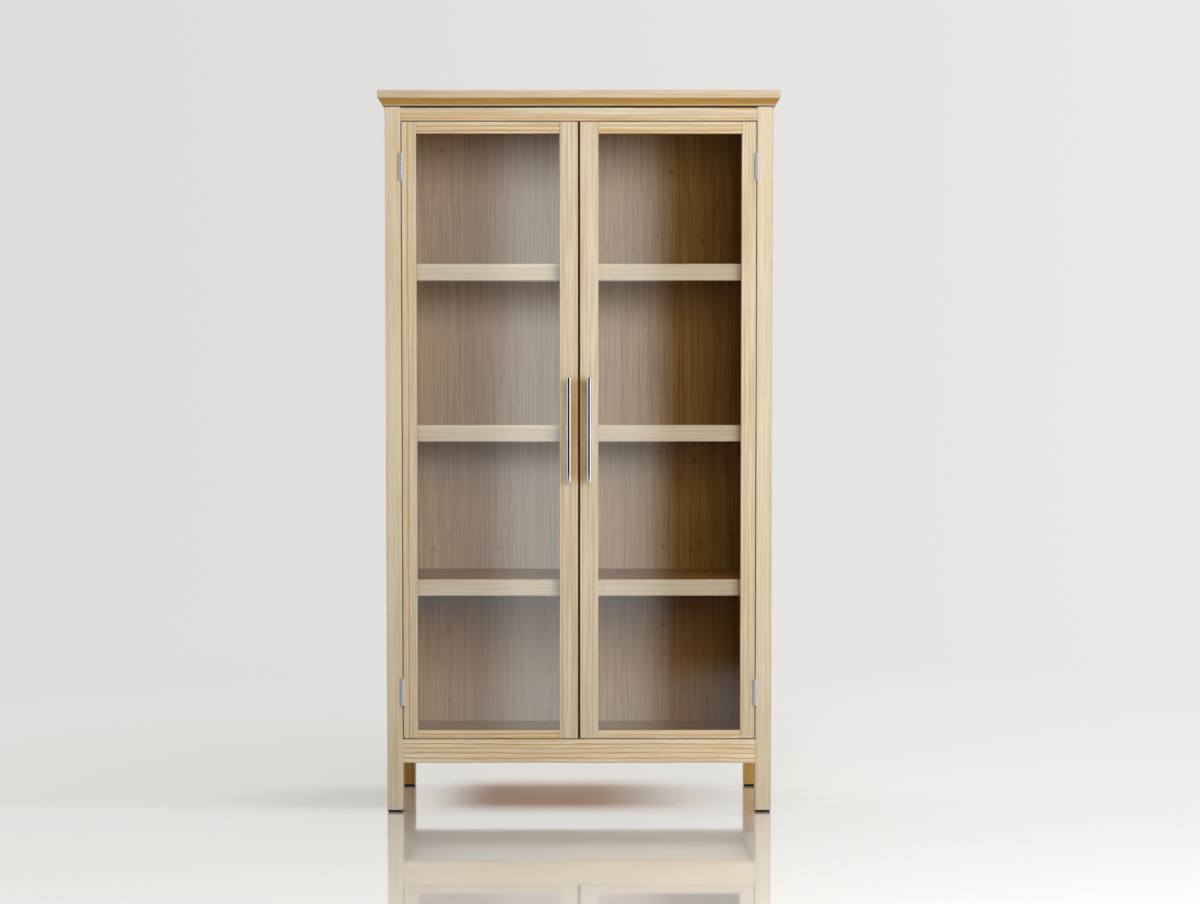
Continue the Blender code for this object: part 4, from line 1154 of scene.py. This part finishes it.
class CABINET_OT_glass(bpy.types.Operator):
    """Glaze the doors"""

    bl_idname = "cabinet.glass"
    bl_label = "Glaze the doors"

    def execute(self, context):
        finish = pane_glass(context.scene.cabinet_fittings.mirror)
        for side in SIDES:
            paint_node(f"glass_{side}", finish)
        return {"FINISHED"}


class CABINET_OT_pads(bpy.types.Operator):
    """Finish the pads under the legs"""

    bl_idname = "cabinet.pads"
    bl_label = "Finish the pads"

    def execute(self, context):
        finish = soft_black("pad_rubber", screen(14, 12, 11), 0.85, 1400, 0.15, gloss=0.15)
        for place in ("front", "rear"):
            for side in SIDES:
                paint_node(f"foot_pad_{place}_{side}", finish)
        return {"FINISHED"}


class CABINET_OT_handles(bpy.types.Operator):
    """Model the bar handles and their standoffs"""

    bl_idname = "cabinet.handles"
    bl_label = "Model the handles"

    def execute(self, context):
        look, fittings = context.scene.cabinet_steel, context.scene.cabinet_fittings
        finish = steel("bar_steel", look.tone, look.polished, Z, look.brushing)
        for side, body in DOOR_BODY.items():
            node = f"handle_bar_{side}"
            middle, size = middle_of(node), size_of(node)
            radius, half = size.x / 2, size.z / 2
            start()
            bpy.ops.mesh.primitive_cylinder_add(
                vertices=64, radius=radius, depth=size.z, location=middle
            )
            edit()
            select("EDGE", lambda edge: abs(abs(edge_middle(edge).z) - half) < 1e-5)
            bpy.ops.mesh.bevel(offset=fittings.bar_edge, segments=3, affect="EDGES")
            select("FACE", lambda face: abs(face.normal.z) > 0.99)
            bpy.ops.mesh.inset(thickness=radius * 0.45, depth=0)
            bpy.ops.mesh.inset(thickness=radius * 0.06, depth=-0.0002)
            made = settle()
            smooth(30)
            add_piece(f"bar_{side}", made, body, finish, (node,))
            for level in BAR_ENDS:
                self.standoff(f"handle_standoff_{level}_{side}", middle, radius, body, finish)
        self.screws(zinc_plated("handle_screw_steel", X, look), fittings)
        return {"FINISHED"}

    def screws(self, finish, fittings):
        """The screws that hold the standoffs, seen behind the meeting stiles."""
        model = model_pan_screw(fittings)
        for side, body in DOOR_BODY.items():
            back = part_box(f"meeting_stile_{side}")[1].y + HAIR
            for level in BAR_ENDS:
                middle = middle_of(f"handle_standoff_{level}_{side}")
                place = Matrix.Translation((middle.x, back, middle.z)) @ BACKWARDS
                turned = place @ Matrix.Rotation(0.4 if level == "lower" else 1.1, 4, "Z")
                made = copy_placed(model, turned)
                add_piece(f"handle_screw_{level}_{side}", made, body, finish)
        bpy.data.objects.remove(model)

    def standoff(self, node, bar, bar_radius, body, finish):
        """A round post from the stile to the bar, hollowed to sit on the bar."""
        low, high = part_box(node)
        middle = (low + high) / 2
        radius = (high.x - low.x) / 2
        reach = high.y - bar.y
        start()
        bpy.ops.mesh.primitive_cylinder_add(
            vertices=40, radius=radius, depth=reach, rotation=(math.pi / 2, 0, 0),
            location=(middle.x, bar.y + reach / 2, middle.z),
        )
        made = settle()
        start()
        bpy.ops.mesh.primitive_cylinder_add(
            vertices=64, radius=bar_radius + 3 * HAIR, depth=radius * 4,
            location=(bar.x, bar.y, middle.z),
        )
        cut(made, settle())
        round_off(0.0003)
        add_piece(node.replace("handle_", ""), made, body, finish, (node,))


class CABINET_OT_hinges(bpy.types.Operator):
    """Model the rolled butt hinges, their pins and their screws"""

    bl_idname = "cabinet.hinges"
    bl_label = "Model the hinges"

    def execute(self, context):
        look, fittings = context.scene.cabinet_steel, context.scene.cabinet_fittings
        finish = zinc_plated("hinge_steel", Z, look)
        screw_finish = zinc_plated("screw_steel", X, look)
        low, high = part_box("hinge_frame_leaf_top_right")
        pin_low, pin_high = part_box("hinge_pin_top_right")
        axis = (pin_low + pin_high) / 2
        height = high.z - low.z
        radius = axis.y - low.y
        leaves = {
            kind: model_hinge_leaf(fittings, high.y - axis.y, height, radius, first)
            for first, kind in enumerate(("frame", "door"))
        }
        head = (pin_high.x - pin_low.x) / 2
        rise = (pin_high.z - pin_low.z - height) / 2 - PIN_STUB
        pin = model_hinge_pin(head * PIN_SHANK, head, height + 2 * PIN_STUB, rise)
        screw = model_screw(fittings)
        for side, way in SIDES.items():
            for level in LEVELS:
                label = f"{level}_{side}"
                pin_node = f"hinge_pin_{label}"
                place = Matrix.Translation(middle_of(pin_node))
                made = copy_placed(pin, place)
                add_piece(f"pin_{label}", made, CARCASS, finish, (pin_node,))
                for kind, model in leaves.items():
                    facing, body = (way, CARCASS) if kind == "frame" else (-way, DOOR_BODY[side])
                    turned = place @ Matrix.Diagonal((facing, 1, 1, 1))
                    made = copy_placed(model, turned)
                    replaced = (f"hinge_{kind}_leaf_{label}",)
                    add_piece(f"{kind}_leaf_{label}", made, body, finish, replaced)
                    screws = self.screws(screw, fittings, turned, height)
                    add_piece(f"{kind}_leaf_screws_{label}", screws, body, screw_finish)
        for model in (pin, screw, *leaves.values()):
            bpy.data.objects.remove(model)
        return {"FINISHED"}

    def screws(self, screw, look, turned, height):
        """The screws of one leaf, whose heads look across the gap between the leaves."""
        look_across = Matrix.Rotation(-math.pi / 2, 4, "Y")
        sunk = look.leaf_gap / 2 + SCREW_FACE
        made = []
        for i, up in enumerate(screw_heights(look, height)):
            place = turned @ Matrix.Translation((sunk, look.screw_edge, up)) @ look_across
            made.append(copy_placed(screw, place @ Matrix.Rotation(0.7 * i + 0.3, 4, "Z")))
        return join_all(made)


class CABINET_OT_dust_seal(bpy.types.Operator):
    """Model the strip of dark pile that closes the gap between the doors, near black to paint the
    shade in that gap
    """

    bl_idname = "cabinet.dust_seal"
    bl_label = "Model the dust seal"

    def execute(self, context):
        look = context.scene.cabinet_fittings
        left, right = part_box("meeting_stile_left"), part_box("meeting_stile_right")
        gap = right[0].x - left[1].x
        edge = left[1].x + look.seal_seat
        front = left[0].y + look.seal_setback
        tuft = gap - look.seal_seat - look.seal_clear
        low, high = left[0].z + look.seal_seat, left[1].z - look.seal_seat
        start()
        bpy.ops.mesh.primitive_cube_add(
            size=1, location=(edge + tuft / 2, front + look.seal_depth / 2, (low + high) / 2),
            scale=(tuft, look.seal_depth, high - low),
        )
        edit()
        for way, inset, proud in ((-1, 0.12, 0.00005), (1, 0.3, 0.0003)):
            select_faces(X, way)
            bpy.ops.mesh.inset(thickness=look.seal_depth * inset, depth=0.0)
            extrude(way * proud, 0, 0)
        made = settle()
        round_off(0.0004, 3)
        # Painted shade: the pile is near black, so that the gap between the doors looks shaded.
        finish = soft_black("dark_pile_gap_shade", screen(22, 6, 3), 0.95, 1900, 0.05, gloss=0.1)
        add_piece("dust_seal", made, DOOR_BODY["left"], finish)
        return {"FINISHED"}


class CABINET_OT_catch(bpy.types.Operator):
    """Finish the magnetic catch and its strike plates, and add their screws"""

    bl_idname = "cabinet.catch"
    bl_label = "Finish the catch"

    def execute(self, context):
        look, fittings = context.scene.cabinet_steel, context.scene.cabinet_fittings
        paint_node("magnetic_catch", soft_black("catch_plastic", screen(52, 46, 41), 0.5, 2200))
        finish = zinc_plated("strike_steel", X, look)
        screw = model_screw(fittings)
        for side, body in DOOR_BODY.items():
            node = f"strike_plate_{side}"
            paint_node(node, finish)
            low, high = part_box(node)
            middle = (low + high) / 2
            place = Matrix.Translation((middle.x, high.y - HAIR, middle.z)) @ BACKWARDS
            made = copy_placed(screw, place @ Matrix.Diagonal((0.9, 0.9, 0.5, 1)))
            add_piece(f"strike_screw_{side}", made, body, finish)
        self.fixings(screw, finish, fittings)
        bpy.data.objects.remove(screw)
        return {"FINISHED"}

    def fixings(self, screw, finish, fittings):
        """The two screws from below, and the pole plates in front of each magnet."""
        low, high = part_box("magnetic_catch")
        middle, size = (low + high) / 2, high - low
        down = Matrix.Rotation(math.pi, 4, "X")
        for side, way in SIDES.items():
            end = middle.x + way * size.x * CATCH_SCREW
            place = Matrix.Translation((end, middle.y, low.z - 2 * HAIR)) @ down
            made = copy_placed(screw, place @ Matrix.Rotation(0.5 + way, 4, "Z"))
            add_piece(f"catch_screw_{side}", made, CARCASS, finish)
            plates = []
            for level in (-1, 1):
                start()
                bpy.ops.mesh.primitive_cube_add(size=1, location=(
                    middle.x + way * size.x * POLE_ASIDE, middle.y - 2 * HAIR,
                    middle.z + level * size.z * POLE_UP,
                ))
                bpy.context.object.scale = (size.x * POLE_LENGTH, size.y, fittings.pole)
                plate = settle()
                edit()
                select_faces(Y, -1)
                bpy.ops.mesh.inset(thickness=fittings.pole * 0.2, depth=0)
                settle()
                round_off(fittings.pole * 0.15)
                plates.append(plate)
            add_piece(f"pole_plates_{side}", join_all(plates), CARCASS, finish)


class CABINET_OT_stage(bpy.types.Operator):
    """Set up the floor, the surroundings, the lamps and the camera"""

    bl_idname = "cabinet.stage"
    bl_label = "Set up the stage"

    def execute(self, context):
        look = context.scene.cabinet_stage
        self.floor(look)
        self.window(look)
        self.surroundings(context, look)
        self.lamps(look)
        self.camera(context, look)
        view = context.scene.view_settings
        view.view_transform = "Standard"
        return {"FINISHED"}

    def room(self, sheet, look, x, y, path):
        """What is seen towards (x, y) from the cabinet, by the eye and by what shines.

        The eye sees the backdrop, which brightens from left to right. What shines sees it behind
        the cabinet, pale walls on both sides, and a dark room in front.
        """
        eye = sheet.mix(sheet.ramp(x, -0.3, 0.42), look.left_tone, look.right_tone)
        bearing = sheet.math("ARCTAN2", x, y * -1)
        dark = sheet.ramp(bearing, -1.05, -0.85) * sheet.fall(bearing, 0.55, 0.73)
        walls = sheet.mix(sheet.ramp(bearing, -0.3, 0.3), LEFT_WALL, RIGHT_WALL)
        shine = sheet.mix(dark, walls, DARK_ROOM)
        shine = sheet.mix(sheet.ramp(abs(bearing), 1.7, 2.2), shine, eye)
        return sheet.mix(path.other("Is Glossy Ray"), eye, shine)

    def window(self, look):
        """A tall bright window that only the panes mirror: a glowing card that paints a reflection
        on them, with painted shade under the head rail and the shelves. It lets everything else
        through.
        """
        start()
        bpy.ops.mesh.primitive_plane_add(
            size=1, location=(0, WINDOW_PLACE, WINDOW_MIDDLE), rotation=(math.pi / 2, 0, 0)
        )
        bpy.context.object.scale = (*WINDOW_SIZE, 1)
        made = settle()
        made.name = "window"
        finish, sheet, _ = material("window_painted_reflection")
        x, _, z = sheet.split(sheet.place())
        level = WINDOW_LEVEL
        for left, right, change in WINDOW_STEPS:
            level = level + sheet.ramp(x, left, right, 0.0, change)
        level = sheet.largest(level, 0.0)
        # Painted shade in the reflection, under the head rail and each shelf.
        for top, foot, depth, fade in WINDOW_SHADE_DIPS:
            dip = sheet.ramp(z, top - fade, top, 0.0, depth)
            level = level * (1 - dip * (z < top) * (z > foot))
        glow = sheet.node("Emission", None, {"Color": look.window, "Strength": level * look.glare})
        sheet.surface(sheet.node("AddShader", None, {0: glow, 1: sheet.node("BsdfTransparent")}))
        made.data.materials.append(finish)
        for kind in ("camera", "diffuse", "transmission", "volume_scatter", "shadow"):
            setattr(made, f"visible_{kind}", False)
        panes = bpy.data.collections.new("panes")
        for side in SIDES:
            panes.objects.link(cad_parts[f"glass_{side}"])
        made.light_linking.receiver_collection = panes

    def shade_beside(self, sheet, x, y):
        """The wide shade on the floor to the left of the cabinet, and a weak one behind it."""
        wide = sheet.ramp(x, -2.4, -0.6) * sheet.ramp(y, -0.22, 0.0) * sheet.fall(y, 0.2, 1.9)
        near = sheet.ramp(x, -1.0, -0.5) * sheet.fall(abs(y), 0.05, 0.24)
        left = sheet.fall(x, -0.50, -0.44) * (wide * 0.45 + near * 0.7)
        depth = sheet.ramp(y, 0.05, 0.30) * sheet.fall(y, 0.7, 2.4)
        behind = sheet.fall(abs(x), 0.40, 0.80) * depth
        return sheet.largest(left, behind * 0.22)

    def shade_under(self, sheet, x, y):
        """The shade on the floor between the legs."""
        long = sheet.ramp(x, -0.45, -0.20) * sheet.fall(x, 0.0, 0.48)
        return long * sheet.fall(abs(y - 0.055), 0.09, 0.31)

    def floor(self, look):
        """A polished pale floor that fades into the backdrop. Only the eye sees its shades."""
        start()
        bpy.ops.mesh.primitive_circle_add(vertices=96, radius=30, fill_type="NGON")
        made = settle()
        made.name = "floor"
        finish, sheet, shader = material("floor")
        x, y, _ = sheet.split(sheet.place())
        dust = sheet.spots((3, 3, 3), 4, 0.6)
        path = sheet.node("LightPath", output="Is Camera Ray")
        tone = sheet.mix(dust * 0.5, look.floor, times(look.floor, 0.97))
        tone = sheet.mix(path.other("Is Diffuse Ray"), tone, times(look.floor, look.bounce))
        tone = sheet.mix(sheet.ramp(x, -0.6, 1.4), tone, (1.0, 0.995, 0.985))
        tone = sheet.tint(self.shade_beside(sheet, x, y) * path, tone, look.beside)
        under = self.shade_under(sheet, x, y) * path
        sheet.feed(shader["Base Color"], sheet.tint(under, tone, look.under))
        sheet.feed(shader["Roughness"], sheet.ramp(dust, 0.3, 0.7, 0.05, 0.09) + under * 0.4)
        sheet.feed(shader["Coat Weight"], 1 - under * 0.92)
        shader["IOR"].default_value = 1.7
        shader["Metallic"].default_value = 0.3
        shader["Coat Roughness"].default_value = 0.045
        reach = sheet.distance(x, y)
        far = sheet.ramp(reach, 2.2, 3.9)
        seen = sheet.largest(path, path.other("Is Glossy Ray"))
        view = self.room(sheet, look, x / (reach + STUDIO), y / (reach + STUDIO), path)
        glow = sheet.node("Emission", None, {"Color": view})
        sheet.surface(sheet.mix_shaders(far * seen, sheet.principled(), glow))
        made.data.materials.append(finish)

    def surroundings(self, context, look):
        """Even light all round. What shines sees a bright room that is dark behind the camera."""
        world = bpy.data.worlds.new("studio")
        context.scene.world = world
        world.use_nodes = True
        sheet = Sheet(world.node_tree)
        nodes = world.node_tree.nodes
        nodes.clear()
        x, y, z = sheet.split(sheet.node("TexCoord", output="Generated"))
        path = sheet.node("LightPath", output="Is Camera Ray")
        seen = sheet.largest(path, path.other("Is Glossy Ray"))
        seen = sheet.largest(seen, path.other("Is Transmission Ray"))
        above = sheet.ramp(z, 0.35, 0.65) * sheet.ramp(y, -0.15, 0.15)
        overhead = above * (look.top - look.fill) + look.fill
        light = sheet.mix(seen, sheet.join(*(overhead,) * 3), self.room(sheet, look, x, y, path))
        background = sheet.node("Background", None, {"Color": light, "Strength": 1.0})
        output = nodes.new("ShaderNodeOutputWorld")
        sheet.feed(output.inputs["Surface"], background)

    def lamp(self, name, place, aim, size, power, tint=(1, 1, 1)):
        """A soft rectangular lamp that shows neither to the eye nor in what shines."""
        lamp = bpy.data.lights.new(name, "AREA")
        lamp.shape = "RECTANGLE"
        lamp.size, lamp.size_y = size
        lamp.energy = power
        lamp.color = tint
        made = bpy.data.objects.new(name, lamp)
        bpy.context.scene.collection.objects.link(made)
        made.location = place
        made.rotation_euler = (Vector(aim) - Vector(place)).to_track_quat("-Z", "Y").to_euler()
        made.visible_camera = False
        made.visible_glossy = False
        made.visible_transmission = False
        return made

    def lamps(self, look):
        front = (0, -0.18, 0.9)
        self.lamp("front_lamp", (1.14, -3.31, 1.61), front, (2.4, 1.5), look.key)
        self.lamp("high_lamp", (-0.6, -2.9, 4.3), front, (3.0, 2.0), look.high)
        cool = (0.88, 1.0, 1.25)
        self.lamp("floor_bounce", (0, 0, 0.01), (0, 0, 1), (0.8, 0.34), look.beneath, cool)

    def camera(self, context, look):
        camera = bpy.data.cameras.new("camera")
        camera.sensor_width = 36
        camera.lens = look.lens
        camera.shift_x, camera.shift_y = look.shift
        made = bpy.data.objects.new("camera", camera)
        context.scene.collection.objects.link(made)
        made.location = look.eye
        made.rotation_euler = (math.pi / 2 - look.pitch, 0, 0)
        context.scene.camera = made


class CABINET_PT_panel(bpy.types.Panel):
    """The cabinet's settings and steps, in the sidebar of the 3D view"""

    bl_idname = "CABINET_PT_panel"
    bl_label = "Pine display cabinet"
    bl_space_type = "VIEW_3D"
    bl_region_type = "UI"
    bl_category = "Cabinet"

    def draw(self, context):
        for group in SETTINGS:
            box = self.layout.box()
            box.label(text=group.__doc__)
            values = getattr(context.scene, group_name(group))
            for name in group.__annotations__:
                box.prop(values, name)
        for step in STEPS:
            self.layout.operator(step.bl_idname)


SETTINGS = (WoodSettings, SteelSettings, FittingsSettings, StageSettings)
STEPS = (
    CABINET_OT_wood,
    CABINET_OT_glass,
    CABINET_OT_pads,
    CABINET_OT_handles,
    CABINET_OT_hinges,
    CABINET_OT_dust_seal,
    CABINET_OT_catch,
    CABINET_OT_stage,
)


def group_name(group):
    """The scene's name for a group of settings, such as cabinet_wood."""
    return "cabinet_" + group.__name__.removesuffix("Settings").lower()


def register():
    for made in (*SETTINGS, *STEPS, CABINET_PT_panel):
        bpy.utils.register_class(made)
    for group in SETTINGS:
        setattr(bpy.types.Scene, group_name(group), PointerProperty(type=group))


def unregister():
    for group in SETTINGS:
        delattr(bpy.types.Scene, group_name(group))
    for made in reversed((*SETTINGS, *STEPS, CABINET_PT_panel)):
        bpy.utils.unregister_class(made)


def main():
    register()
    for step in STEPS:
        group, name = step.bl_idname.split(".")
        getattr(getattr(bpy.ops, group), name)()
    start()


if __name__ == "__main__":
    main()
